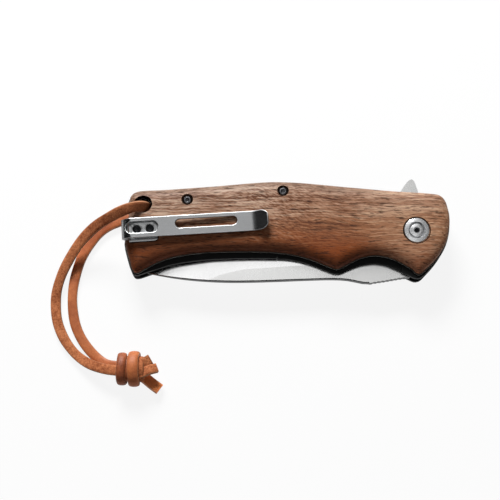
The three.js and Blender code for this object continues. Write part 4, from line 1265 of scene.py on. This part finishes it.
    def build(self) -> None:
        """Both scales with their bores, and the clip's pocket in the upper one."""
        for node, name, level, up, rise in (
            ("clip_side_scale", "walnut_scale_clip_side", self.stack.clip_wood, True, 0.0),
            ("show_side_scale", "walnut_scale_show_side", self.stack.wood, False, self.butt_rise),
        ):
            piece = self.build_scale(node, name, level, up, rise)
            ends = level - CUTTER_REACH, level + CUTTER_REACH
            cutters = [bore((0, 0), self.pivot_bore, *ends), bore(self.lanyard, self.lanyard_bore, *ends)]
            for centre in self.screws:
                cutters += [bore(centre, self.screw_way, *ends), self.counterbore(centre, up, level)]
            if up:
                cutters += PocketClip(self.stack).pocket_cutters()
            cut(piece, cutters)
            tidy_mesh(piece, merge=0.001, sharp_angle=CUT_SMOOTH_ANGLE)
            # Painted shade: the wall of the lace's hole takes the near-black finish.
            mark_bore(piece, self.lanyard, self.lanyard_bore + 0.05)
            dress(piece, node, Body.HANDLE, Slot.WALNUT, WALNUT, BORE_SHADE)


@dataclass
class PocketClip:
    """The folded steel clip: its plate under two screws, its arm, and its pocket in the wood.

    Its own frame starts in the middle of the fold, and runs along the arm and across it.
    """

    stack: Stack
    place: tuple = (-107.9, -0.05)
    turn: float = math.radians(4)
    plate_half_width: float = 4.7
    plate_end: float = 12.2
    corner: float = 1.7
    corner_steps: int = 9
    depth: float = 0.8
    butt_end: float = -4.0
    leg_half_width: float = 8.8
    leg_end: float = 1.0
    leg_room: float = 0.3
    screw_places: tuple = (8.9, 4.1)
    screw_way: float = 1.0
    fold_start: float = -1.5
    fold_crease: float = 1.9
    crease_radius: float = 0.6
    fold_slope: float = 0.55
    fold_height: float = 3.7
    fold_cuts: int = 12
    lower_part: float = -2.6
    lower_growth: float = 0.4
    sharp: float = 40.0
    plate_edge: float = 0.16
    arm_edge: float = 0.26
    arm_edge_steps: int = 4
    clear: float = 3.0

    def placed(self, along: np.ndarray | float, across: np.ndarray | float) -> tuple:
        """x and y in the knife's frame of places in the clip's own."""
        cos, sin = math.cos(self.turn), math.sin(self.turn)
        return self.place[0] + along * cos - across * sin, self.place[1] + along * sin + across * cos

    def own(self, points: np.ndarray) -> tuple[np.ndarray, np.ndarray]:
        """Takes points of the knife's frame into the clip's own.

        Args:
            points: the points, one a row.

        Returns:
            How far along and how far across the clip each of them lies.
        """
        x, y = (points[:, :2] - self.place).T
        cos, sin = math.cos(self.turn), math.sin(self.turn)
        return x * cos + y * sin, y * cos - x * sin

    def block(self, outline: np.ndarray, low: float) -> bpy.types.Object:
        """A cutter over an outline, from a height out through the face.

        Args:
            outline: its corners in the clip's own frame.
            low: the height of its floor.

        Returns:
            The cutter.
        """
        x, y = self.placed(*outline.T)
        levels = (low, self.stack.top + self.clear)
        rings = [np.stack([x, y, np.full_like(x, level)], axis=-1) for level in levels]
        return ring_surface("pocket", np.stack(rings), capped=True)

    def pocket_cutters(self) -> list[bpy.types.Object]:
        """The pocket of the plate, the room of the fold's leg, and the two screws' ways.

        Returns:
            The cutters.
        """
        side, end, r = self.plate_half_width, self.plate_end, self.corner
        turn = np.linspace(-np.pi / 2, 0, self.corner_steps)
        lower = np.stack([end - r + r * np.cos(turn), -side + r + r * np.sin(turn)], axis=1)
        upper = lower[::-1] * [1, -1]
        lower = lower - [0, self.lower_growth]
        plate = np.vstack([[[self.butt_end, lower[0, 1]]], lower, upper, [[self.butt_end, side]]])
        leg_x = [self.butt_end, self.leg_end, self.leg_end, self.butt_end]
        leg = np.stack([leg_x, self.leg_half_width * np.array([-1, -1, 1, 1])], axis=1)
        floor = self.stack.top - self.depth
        ways = [bore(self.placed(along, 0.0), self.screw_way, self.stack.clip_wood - 1, self.stack.top, 32)
                for along in self.screw_places]
        return [self.block(plate, floor), self.block(leg, floor - self.leg_room), *ways]

    def lean_fold(self, arm: bpy.types.Object) -> None:
        """Lets the arm's upper leg slope down from a crease to the fold, by squashing the fold's height.

        The slope starts with a curve: d²/2r within the crease's radius r, and d - r/2 beyond it.

        Args:
            arm: the arm. Its eased edges are made faces first, so that the slope takes them too.
        """
        for finish in (CLIP_STEEL, RIM_HIGHLIGHT_STEEL):
            arm.data.materials.append(finish)
        cut(arm, [])
        direction = (math.cos(self.turn), math.sin(self.turn), 0.0)
        with opened(arm.data) as work:
            for along in np.linspace(self.fold_start, self.fold_crease + 0.3, self.fold_cuts):
                x, y = self.placed(along, 0.0)
                bmesh.ops.bisect_plane(work, geom=[*work.verts, *work.edges, *work.faces], dist=1e-6,
                                       plane_co=(x * MM, y * MM, 0), plane_no=direction)
        points = points_of(arm)
        r = self.crease_radius
        before = np.maximum(0, self.fold_crease - self.own(points)[0])
        drop = self.fold_slope * np.where(before < r, before**2 / (2 * r), before - r / 2)
        floor = self.stack.top - self.depth
        points[:, 2] = floor + (points[:, 2] - floor) * (1 - drop / self.fold_height)
        move_points(arm, points)
        shade(arm, CUT_SMOOTH_ANGLE)
        arm.modifiers.new("even shading", "WEIGHTED_NORMAL").keep_sharp = True

    def widen(self, plate: bpy.types.Object) -> None:
        """Moves the plate's lower edge outwards.

        Args:
            plate: the plate.
        """
        points = points_of(plate)
        points[:, 1] -= np.where(self.own(points)[1] < self.lower_part, self.lower_growth, 0)
        move_points(plate, points)

    def build(self) -> None:
        """The plate and the arm, with a painted highlight on their eased edges."""
        plate = eased("clip_plate", "pocket_clip_plate", self.plate_edge, self.sharp, rim=1)
        self.widen(plate)
        dress(plate, "clip_plate", Body.HANDLE, Slot.CLIP_STEEL, CLIP_STEEL, RIM_HIGHLIGHT_STEEL)
        arm = eased("clip_arm", "pocket_clip_arm", self.arm_edge, self.sharp, self.arm_edge_steps, rim=1,
                    clamped=False)
        self.lean_fold(arm)
        dress(arm, "clip_arm", Body.CLIP_ARM, Slot.CLIP_STEEL, CLIP_STEEL, RIM_HIGHLIGHT_STEEL)


@dataclass
class Liners:
    """The dark liners, the backing sheets with a painted highlight on their edges, the spacer and the lock
    bar.
    """

    edge: float = 0.12
    bar_ends: tuple = (-51.5, -6.2)
    bar_growth: tuple = (-0.22, 0.5)
    lace_bore: float = 3.5

    def lengthen(self, bar: bpy.types.Object) -> None:
        """Brings both ends of the lock bar close to the liner, so that its slits are fine lines.

        Args:
            bar: the lock bar.
        """
        points = points_of(bar)
        near = 0.05
        left, right = self.bar_ends
        ends = [points[:, 0] < left + near, points[:, 0] > right - near]
        points[:, 0] += np.select(ends, self.bar_growth)
        move_points(bar, points)

    def build(self) -> None:
        """Each from its solid with eased edges."""
        for node, body, finish in (
            ("clip_side_liner", Body.HANDLE, BLACK_COAT),
            ("show_side_liner", Body.HANDLE, BLACK_COAT),
            ("lock_bar", Body.LOCK_BAR, BLACK_COAT),
            ("back_spacer", Body.HANDLE, BLACK_SPACER),
        ):
            piece = eased(node, "eased_" + node, self.edge)
            if body is Body.LOCK_BAR:
                self.lengthen(piece)
            # Painted shade: the wall of the lace's hole takes the near-black finish.
            mark_bore(piece, LACE_HOLE, self.lace_bore)
            dress(piece, node, body, Slot.BLACK_COAT, finish, BORE_SHADE)
        # The backing sheets: painted shade on their faces and a painted highlight on their eased edges.
        for node in ("clip_side_backing", "show_side_backing"):
            piece = eased(node, "eased_" + node, self.edge, rim=1)
            dress(piece, node, Body.HANDLE, Slot.SATIN_EDGE, SATIN_SHEET, SATIN_EDGE)


@dataclass
class Blade:
    """The ground blade with its flipper and shallow notches, a rougher finish on its spine, painted shade
    on its upright faces and a painted highlight on its bevels.

    The line of the spine under the notches is given by places along x and their heights.
    """

    edge: float = 0.1
    sharp: float = 24.0
    upright: float = 0.5
    level: float = 0.9995
    notched: tuple = ((-16.25, -11.95, -4.1), (-18.48, -17.81, -16.46))
    notch_depth: float = 0.45
    notch_kept: float = 0.45

    def ease_notches(self, blade: bpy.types.Object) -> None:
        """Makes the notches on the spine shallower, by pulling their floors towards the spine's line.

        Args:
            blade: the blade.
        """
        points = points_of(blade)
        nowhere = -99.0
        depth = points[:, 1] - np.interp(points[:, 0], *self.notched, left=nowhere, right=nowhere)
        notch = (depth > 0) & (depth < self.notch_depth)
        points[:, 1] -= np.where(notch, depth * (1 - self.notch_kept), 0)
        move_points(blade, points)

    def build(self) -> None:
        """The blade from its solid, and what it turns on and rests against."""
        blade = eased("blade", "ground_blade", self.edge, self.sharp)
        self.ease_notches(blade)
        # Upright faces take the darker spine steel, painted shade; tilted faces the lighter bevel steel,
        # painted highlight.
        lies = np.abs(of_faces(blade, "normal")[:, 2])
        number_faces(blade, np.select([lies < self.upright, lies < self.level], [1, 2]))
        dress(blade, "blade", Body.BLADE, Slot.BLADE_STEEL, BLADE_STEEL, SPINE_GRIND_AND_SHADE, BEVEL_HIGHLIGHT_STEEL)
        for node in ("detent_ball", "stop_pin"):
            dress_node(node, TURNED_STEEL)
        for node in ("clip_side_washer", "show_side_washer"):
            dress_node(node, BRONZE)


@dataclass
class Pivot:
    """The bright collar and screw of the pivot, and its barrel with a plain head on the show side."""

    stack: Stack
    bore: float = 1.45
    head: float = 4.84
    edge: float = 0.24
    round_in: float = 0.12
    round_down: float = 0.13
    seat: float = 2.98
    seat_depth: float = 0.05
    screw: float = 2.66
    shank: float = 1.25
    shank_length: float = 6.5
    shoulder: float = 1.6
    liner_sheet: float = 0.4
    recess: float = 0.85
    recess_depth: float = 1.2
    dome: float = 0.15

    def collar(self, low: float, floor: float, top: float) -> bpy.types.Object:
        """The ring in the wood, with a low dome towards its seat.

        Args:
            low: the height of its underside.
            floor: the height of the screw's seat in it.
            top: the height of the wood's face.

        Returns:
            The object.
        """
        ridge = top + self.dome
        return turned("pivot_collar_ring", [
            (self.bore, low), (self.head, low), (self.head, top - self.edge),
            (self.head - self.round_in, top - self.round_down), (self.head - self.edge, top),
            (self.seat + 0.5, ridge), (self.seat + 0.18, ridge), (self.seat, top - self.seat_depth),
            (self.seat, floor), (self.bore, floor), (self.bore, low)], (0, 0))

    def head_screw(self, floor: float, top: float) -> bpy.types.Object:
        """The screw in the collar, with its lobed recess.

        Args:
            floor: the height that its head rests at.
            top: the height of the wood's face.

        Returns:
            The object.
        """
        ridge = top + self.dome
        end = floor - self.shank_length
        return turned("pivot_head_screw", [
            (0, end), (self.shank, end), (self.shank, floor), (self.screw, floor),
            (self.screw, top - 0.2), (self.screw - 0.2, top + 0.02), (self.recess + 0.75, ridge),
            (self.recess + 0.35, ridge), (self.recess + 0.02, top - 0.25), (self.recess, top - 0.3),
            (self.recess - 0.02, top - self.recess_depth), (0, top - self.recess_depth - 0.2)],
            (0, 0), Drive(self.recess + 0.01, 0.12))

    def build(self) -> None:
        """The collar and the screw as revolved pieces, and the eased barrel."""
        top = self.stack.top
        low = self.stack.clip_wood - self.liner_sheet
        floor = low + self.shoulder
        collar = self.collar(low, floor, top)
        dress(collar, "pivot_collar", Body.HANDLE, Slot.BRIGHT_STEEL, TURNED_STEEL)
        screw = self.head_screw(floor, top)
        # Painted shade: faces in and round the drive recess take the dark steel.
        centres = of_faces(screw, "center") / MM
        near = np.linalg.norm(centres[:, :2], axis=1) < self.recess * 1.15
        number_faces(screw, near & (centres[:, 2] > floor))
        dress(screw, "pivot_screw", Body.HANDLE, Slot.BRIGHT_STEEL, TURNED_STEEL, RECESS_SHADE_STEEL)
        barrel = eased("pivot_barrel", "pivot_barrel_head", 0.08)
        dress(barrel, "pivot_barrel", Body.HANDLE, Slot.BRIGHT_STEEL, TURNED_STEEL)


@dataclass(frozen=True)
class DomedScrew:
    """A screw with a low domed head and a lobed recess, measured from the underside of the head."""

    head: float
    height: float
    shank: float
    drive: float

    def make(self, name: str, node: str, base: float, length: float, down: bool = False) -> bpy.types.Object:
        """The screw on the axis of its solid.

        Args:
            name: its name.
            node: its solid.
            base: the height of the underside of its head.
            length: the length of its shank.
            down: whether its head points downwards.

        Returns:
            The object.
        """
        low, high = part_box(node)
        centre = ((low.x + high.x) / 2 / MM, (low.y + high.y) / 2 / MM)
        rim, top = self.head, self.height
        return turned(name, [
            (0, -length), (self.shank, -length), (self.shank, 0), (rim, 0), (rim, 0.62 * top),
            (0.96 * rim, 0.8 * top), (0.82 * rim, 0.95 * top), (self.drive + 0.22, top),
            (self.drive + 0.1, top - 0.02), (self.drive, top - 0.12), (self.drive - 0.01, 0.35 * top),
            (0, 0.25 * top)], centre, Drive(self.drive + 0.01, 0.13), down, base, 72)


@dataclass
class Screws:
    """The dark screws of the handle and of the clip."""

    stack: Stack
    body: DomedScrew = DomedScrew(1.55, 1.6, 1.0, 0.68)
    body_length: float = 5.0
    clip: DomedScrew = DomedScrew(1.5, 0.7, 0.8, 0.66)

    def build(self) -> None:
        """All six screws, each at its solid's place."""
        places = ("front", "rear")
        seats = {"clip": self.stack.clip_wood + self.body.height, "show": self.stack.wood - self.body.height}
        for side, seat in seats.items():
            for place in places:
                node = f"{side}_side_screw_{place}"
                name = f"body_screw_{side}_{place}"
                piece = self.body.make(name, node, seat, self.body_length, side == "show")
                dress(piece, node, Body.HANDLE, Slot.DARK_STEEL, DARK_STEEL)
        for place in places:
            node = f"clip_screw_{place}"
            low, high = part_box(node)
            seat = high.z / MM - self.clip.height
            piece = self.clip.make(f"pocket_clip_screw_{place}", node, seat, seat - low.z / MM)
            dress(piece, node, Body.HANDLE, Slot.DARK_STEEL, CLIP_SCREW_STEEL)


@dataclass
class Lanyard:
    """A flat leather lace through the butt, with both ends in one knot.

    The wall is the direction in which the lace leans on its hole. The roll is how far the outer strand
    turns towards the front as it leaves the hole, and the spread is how much wider both get there, with
    the millimetres along the strand between which each comes and goes. A wave is a size, a pace and a
    start. A wrap has the values that wrap() takes, and a loose end those of end().
    """

    width: float = 3.7
    thickness: float = 2.0
    squareness: float = 5.0
    knot_thickness: float = 1.9
    wrap_squareness: float = 3.6
    end_squareness: float = 6.0
    wall: tuple = (0.93, -0.37, 0.0)
    bent: tuple = (0.0, 14.0)
    roll: float = 0.5
    unrolled: tuple = (14.0, 34.0)
    spread: float = 0.13
    spread_out: tuple = (8.0, 14.0)
    spread_in: tuple = (26.0, 40.0)
    waves: tuple = ((0.03, 5.1, 0.7), (0.02, 2.3, 0.0))
    upper_exit: tuple = (-101.1, 9.6, 15.4)
    lower_exit: tuple = (-101.1, 9.6, 2.6)
    knot_middle: tuple = (-50.2, 4.99)
    outer_route: tuple = (
        (-100.35, 9.5, 9.4), (-100.35, 9.5, 11.6), (-100.9, 9.4, 14.5), (-103.1, 8.95, 17.0),
        (-106.6, 7.8, 17.95), (-110.3, 6.6, 17.1), (-114.7, 5.15, 14.1), (-118.65, 3.45, 11.5),
        (-122.15, 1.15, 9.2), (-125.9, -2.45, 7.2), (-129.05, -6.75, 5.4), (-132.7, -13.45, 3.4),
        (-134.7, -19.7, 1.9), (-135.05, -24.5, 1.25), (-134.4, -30.5, 1.15), (-132.8, -35.3, 1.15),
        (-130.25, -39.9, 1.15), (-126.35, -44.45, 1.3), (-121.6, -47.8, 2.5), (-117.2, -49.6, 4.0),
        (-114.0, -50.4, 4.9), (-110.6, -50.8, 5.3),
    )
    inner_route: tuple = (
        (-100.35, 9.5, 9.0), (-100.4, 9.6, 7.0), (-101.4, 10.0, 4.0), (-103.4, 10.1, 2.1),
        (-106.2, 9.3, 1.3), (-109.0, 8.55, 1.2), (-112.1, 7.6, 1.15), (-116.25, 5.7, 1.15),
        (-119.9, 2.8, 1.15), (-123.3, -1.65, 1.15), (-125.65, -6.2, 1.15), (-127.4, -11.5, 1.15),
        (-128.6, -17.6, 1.15), (-128.85, -23.0, 1.15),
        (-128.4, -28.0, 1.15), (-127.3, -32.9, 1.15), (-125.1, -37.8, 1.15), (-121.9, -42.3, 1.15),
        (-118.5, -45.6, 1.15), (-115.2, -47.75, 1.7), (-110.6, -48.8, 2.7),
    )
    wraps: tuple = (
        (LaceSide.RED, -109.0, 3.4, (4.95, 3.65), 0.15, 0.4, 0.2),
        (LaceSide.SMOOTH, -104.6, 4.2, (5.45, 3.8), 0.1, 2.1, 0.25),
        (LaceSide.RED, -106.9, 2.6, (3.75, 2.4), 0.1, 1.0, 0.1),
        (LaceSide.ROUGH, -102.0, 2.4, (3.7, 2.5), 0.0, 3.0, 0.1),
    )
    ends: tuple = (
        (LaceSide.ROUGH, ((-105.0, -50.0, 5.0), (-102.1, -48.9, 6.3), (-98.5, -46.7, 6.0)), 3.9, 14),
        (LaceSide.ROUGH, ((-105.5, -53.2, 5.2), (-102.0, -52.2, 6.7), (-98.9, -50.8, 6.5),
                          (-96.2, -49.9, 5.4)), 3.5, -10),
        (LaceSide.ORANGE, ((-105.0, -50.4, 2.8), (-100.9, -53.0, 2.6), (-98.1, -55.2, 2.3),
                           (-95.2, -57.3, 1.9)), 4.1, -16),
    )

    @staticmethod
    def section(thickness: float, width: float, power: float) -> tuple[np.ndarray, np.ndarray, np.ndarray]:
        """The outline of the lace's section, and its strip values across and through it."""
        thick, wide = rounded_section(thickness, width, power)
        return thick, wide, np.stack([2 * wide / width, 2 * thick / thickness], axis=1)

    @staticmethod
    def strip_values(path: np.ndarray, sides: np.ndarray, start: float = 0.0) -> np.ndarray:
        """The strip attribute of a grid: millimetres along the path, and the section's two values.

        Args:
            path: the places along it, one a row.
            sides: the section's two values, one row for each of its points.
            start: the millimetres at the path's first place.

        Returns:
            A grid of values: places by section points by three.
        """
        walked = start + np.concatenate([[0.0], np.cumsum(np.linalg.norm(np.diff(path, axis=0), axis=1))])
        along = np.broadcast_to(walked[:, None, None], (len(path), len(sides), 1))
        return np.concatenate([along, np.broadcast_to(sides, (len(path), *sides.shape))], axis=-1)

    def strand(self, name: str, route: tuple, side: float) -> tuple[bpy.types.Object, np.ndarray]:
        """One strand: the lace's section along its route.

        The thickness points at the wall in the hole and upwards once the lace has bent over the edge,
        and is made square to the route at each place. The width swells in two slow waves.

        Args:
            name: the strand's name.
            route: the places that it passes, in millimetres.
            side: 1 if the thickness starts towards the wall, -1 if away from it.

        Returns:
            The object and its centreline in millimetres.
        """
        path = smooth_line(np.array(route), 0.5)
        tangent = unit(np.gradient(path, axis=0))
        walked = np.linspace(0, line_length(path), len(path))
        lying = smooth_step(walked, *self.bent)[:, None]
        rolled = self.roll * max(side, 0) * (1 - smooth_step(walked, *self.unrolled))[:, None]
        up = np.array([0.0, 0.0, 1.0]) + rolled * np.array([0.0, -1.0, 0.0])
        towards = (1 - lying) * side * np.array(self.wall) + lying * up
        out = unit(towards - (towards * tangent).sum(-1, keepdims=True) * tangent)
        across = np.cross(tangent, out)
        thick, wide, sides = self.section(self.thickness, self.width, self.squareness)
        swell = 1 + sum(size * np.sin(walked / pace + start) for size, pace, start in self.waves)
        spread = smooth_step(walked, *self.spread_out) * (1 - smooth_step(walked, *self.spread_in))
        swell += self.spread * spread
        grid = carried(path, thick[None], wide[None] * swell[:, None], across, out)
        return ring_surface(name, grid, self.strip_values(path, sides), capped=True), path

    def wrap(self, x: float, width: float, half: tuple, lean: float, phase: float,
             bulge: float) -> tuple[np.ndarray, np.ndarray]:
        """One wrap of the knot: the lace's section round an ellipse about x, leaning along x.

        Args:
            x: where the wrap lies.
            width: the width of the lace there.
            half: the ellipse's half sizes across and up.
            lean: how far its top leans towards -x.
            phase: where its small unevenness starts.
            bulge: how crowned its outer face is.

        Returns:
            Its grid of points and their strip values.
        """
        turn = 2 * np.pi * np.arange(96) / 96
        wobble = 1 + 0.02 * np.sin(3 * turn + phase)
        y = self.knot_middle[0] + half[0] * wobble * np.cos(turn)
        z = self.knot_middle[1] + half[1] * np.sin(turn)
        path = np.stack([x - lean * np.sin(turn) + 0.15 * np.sin(2 * turn + phase), y, z], axis=1)
        out = unit(np.stack([np.zeros_like(turn), np.cos(turn) / half[0], np.sin(turn) / half[1]], axis=1))
        across = np.broadcast_to([1.0, 0.0, 0.0], path.shape)
        thick, wide, sides = self.section(self.knot_thickness, width, self.wrap_squareness)
        thick = thick + bulge * np.maximum(0, thick) * (1 - (2 * wide / width) ** 2)
        strip = self.strip_values(path, sides)
        strip[..., 0] = half[0] * np.cos(turn)[:, None] + 10 * x
        return carried(path, thick[None], wide[None], across, out), strip

    def end(self, route: tuple, width: float, roll: float) -> tuple[np.ndarray, np.ndarray]:
        """A loose end of the lace: its section along a short route.

        Args:
            route: the places that it passes.
            width: its width.
            roll: how far it is rolled about its route, in degrees.

        Returns:
            Its grid of points and their strip values.
        """
        path = smooth_line(np.array(route), 0.4)
        tangent = unit(np.gradient(path, axis=0))
        tilt = math.radians(roll)
        side = unit(np.cross(tangent, [0.0, 0.0, 1.0]))
        out = math.cos(tilt) * np.cross(side, tangent) + math.sin(tilt) * side
        thick, wide, sides = self.section(self.knot_thickness, width, self.end_squareness)
        grid = carried(path, thick[None], wide[None], np.cross(tangent, out), out)
        return grid, self.strip_values(path, sides, 40 * width)

    def knot(self) -> bpy.types.Object:
        """The knot: two wraps, the turns inside them, and three loose ends, as closed surfaces.

        Returns:
            The object.
        """
        pieces = [(side, True, *self.wrap(*sizes)) for side, *sizes in self.wraps]
        pieces += [(side, False, *self.end(*sizes)) for side, *sizes in self.ends]
        points, strips, faces, numbers = [], [], [], []
        first = 0
        for side, closed, grid, strip in pieces:
            rows, columns = grid.shape[:2]
            added = (grid_faces(rows, columns, closed, True) + first).tolist()
            added += [] if closed else end_faces(first, rows, columns)
            faces += added
            numbers += [side] * len(added)
            points.append(grid.reshape(-1, 3))
            strips.append(strip.reshape(-1, 3))
            first += rows * columns
        piece = mesh_object("lace_knot", np.vstack(points), faces, np.vstack(strips))
        number_faces(piece, numbers)
        tidy_mesh(piece)
        return piece

    def build(self) -> None:
        """The knot and the two strands that end in it."""
        knot = self.knot()
        dress(knot, "lanyard_knot", Body.HANDLE, Slot.SMOOTH_LEATHER, SMOOTH_LEATHER, SUEDE, RED_LEATHER,
              TAIL_PAINTED_LIGHT_LEATHER)
        for strand, route, side, finish, slot, leaves in (
            ("outer_strand", self.outer_route, 1.0, SUEDE, Slot.SUEDE, self.upper_exit),
            ("inner_strand", self.inner_route, -1.0, SMOOTH_LEATHER, Slot.SMOOTH_LEATHER, self.lower_exit),
        ):
            piece, path = self.strand(f"lace_{strand}", route, side)
            dress(piece, f"lanyard_{strand}", Body.HANDLE, slot, finish)
            [c * MM for c in leaves]
            self.width * MM


# The studio


@dataclass(frozen=True)
class Lamp:
    """A rectangular soft light that faces the knife's middle.

    It is tilted behind the zenith by some degrees, or in front where they are below 0. It stands away
    and to the right by metres, and its size is its two sides in metres.
    """

    name: str
    tilt: float
    away: float
    aside: float
    size: tuple
    watts: float

    def make(self, target: tuple) -> None:
        """Puts up the lamp.

        Args:
            target: the place that it faces, in millimetres.
        """
        data = bpy.data.lights.new(self.name, "AREA")
        data.shape = "RECTANGLE"
        data.size, data.size_y = self.size
        data.energy = self.watts
        lean = math.radians(self.tilt)
        offset = Vector((self.aside, self.away * math.sin(lean), self.away * math.cos(lean)))
        lamp = new_object(self.name, data)
        lamp.location = Vector(target) * MM + offset
        lamp.rotation_euler = (-offset).to_track_quat("-Z", "Y").to_euler()


@dataclass(frozen=True)
class Flag:
    """An upright black screen that only reflections show, over a line on the table."""

    name: str
    start: tuple
    end: tuple
    height: float
    foot: float = 5.0
    black: tuple = linear(10, 10, 10)

    def make(self) -> None:
        """Puts up the screen."""
        corners = [(*self.start, self.foot), (*self.end, self.foot), (*self.end, self.height),
                   (*self.start, self.height)]
        screen = mesh_object(self.name, np.array(corners), [[0, 1, 2, 3]])
        g = Graph.material(self.name)
        g.set(Base_Color=self.black, Roughness=1.0, Specular_IOR_Level=0.0)
        screen.data.materials.append(g.owner)
        screen.visible_camera = False
        screen.visible_diffuse = False
        screen.visible_shadow = False


@dataclass
class Studio:
    """A white table under a white sky, a soft light behind the knife, a small one in front, and the camera.

    What the camera, metal and glass see of the table and the sky is white. What lights the knife is
    dimmer, so that its colours come out as they are written. Three black flags, which only reflections
    show, stand on the left, low in front and on the right.
    """

    target: tuple = (-61.86, -5.59, 8.0)
    distance: float = 450.0
    elevation: float = 75.0
    lens: float = 86.26
    table_reach: float = 60000.0
    white: tuple = (1.0, 1.0, 1.0, 1.0)
    white_share: float = 0.88
    sky_light: float = 0.09
    flags: tuple = (
        Flag("left flag", (-450, -900), (-450, 900), 1900),
        Flag("front flag", (-900, -380), (900, -380), 700),
        Flag("right flag", (330, -900), (330, 900), 1900),
    )
    lamps: tuple = (
        Lamp("back soft light", 54, 0.9, -0.18, (0.4, 0.28), 13.0),
        Lamp("front small light", -42, 0.85, 0.11, (0.25, 0.12), 0.4),
    )

    def camera(self) -> None:
        """The camera at the photograph's angle, looking at the middle of its frame."""
        data = bpy.data.cameras.new("camera")
        data.sensor_width = 36.0
        data.lens = self.lens
        data.clip_start = 0.01
        camera = new_object("camera", data)
        back = math.radians(90 - self.elevation)
        offset = Vector((0, -math.sin(back), math.cos(back))) * self.distance
        camera.location = (Vector(self.target) + offset) * MM
        camera.rotation_euler = (back, 0, 0)
        bpy.context.scene.camera = camera

    def table(self) -> None:
        """The table top: part of what is seen of it is white whatever falls on it, and the rest is lit."""
        corners = np.array([[-1, -1, 0], [1, -1, 0], [1, 1, 0], [-1, 1, 0]]) * self.table_reach
        top = mesh_object("table", corners, [[0, 1, 2, 3]])
        g = Graph.material("white table")
        grain = g.noise(Pattern((0.02, 0.02, 0.02), 2.0))
        g.set(Base_Color=g.mix(grain, linear(244, 244, 244), linear(248, 248, 248)), Roughness=0.9,
              Specular_IOR_Level=0.0)
        white = g.node("ShaderNodeEmission", {}, {"Color": self.white, "Strength": 1.0})
        g.mix_shaders(g.seen() * self.white_share, white)
        top.data.materials.append(g.owner)

    def world(self) -> None:
        """A white sky whose light is dimmer than it looks."""
        g = Graph.world("white sky")
        g.set(Color=self.white, Strength=self.sky_light)
        g.mix_shaders(g.seen(), g.node("ShaderNodeBackground", {}, {"Color": self.white, "Strength": 1.0}))
        bpy.context.scene.world = g.owner

    def build(self) -> None:
        """The camera, the table, the sky, the flags and the lamps."""
        bpy.context.scene.view_settings.view_transform = "Standard"
        self.camera()
        self.table()
        self.world()
        for flag in self.flags:
            flag.make()
        for lamp in self.lamps:
            lamp.make(self.target)


def main() -> None:
    """Builds the knife piece by piece and the studio round it."""
    logging.basicConfig(level=logging.INFO, format="%(name)s: %(message)s")
    Studio().build()
    stack = Stack()
    Lanyard().build()
    WoodScales(stack).build()
    PocketClip(stack).build()
    Liners().build()
    Blade().build()
    Pivot(stack).build()
    Screws(stack).build()


if __name__ == "__main__":
    main()
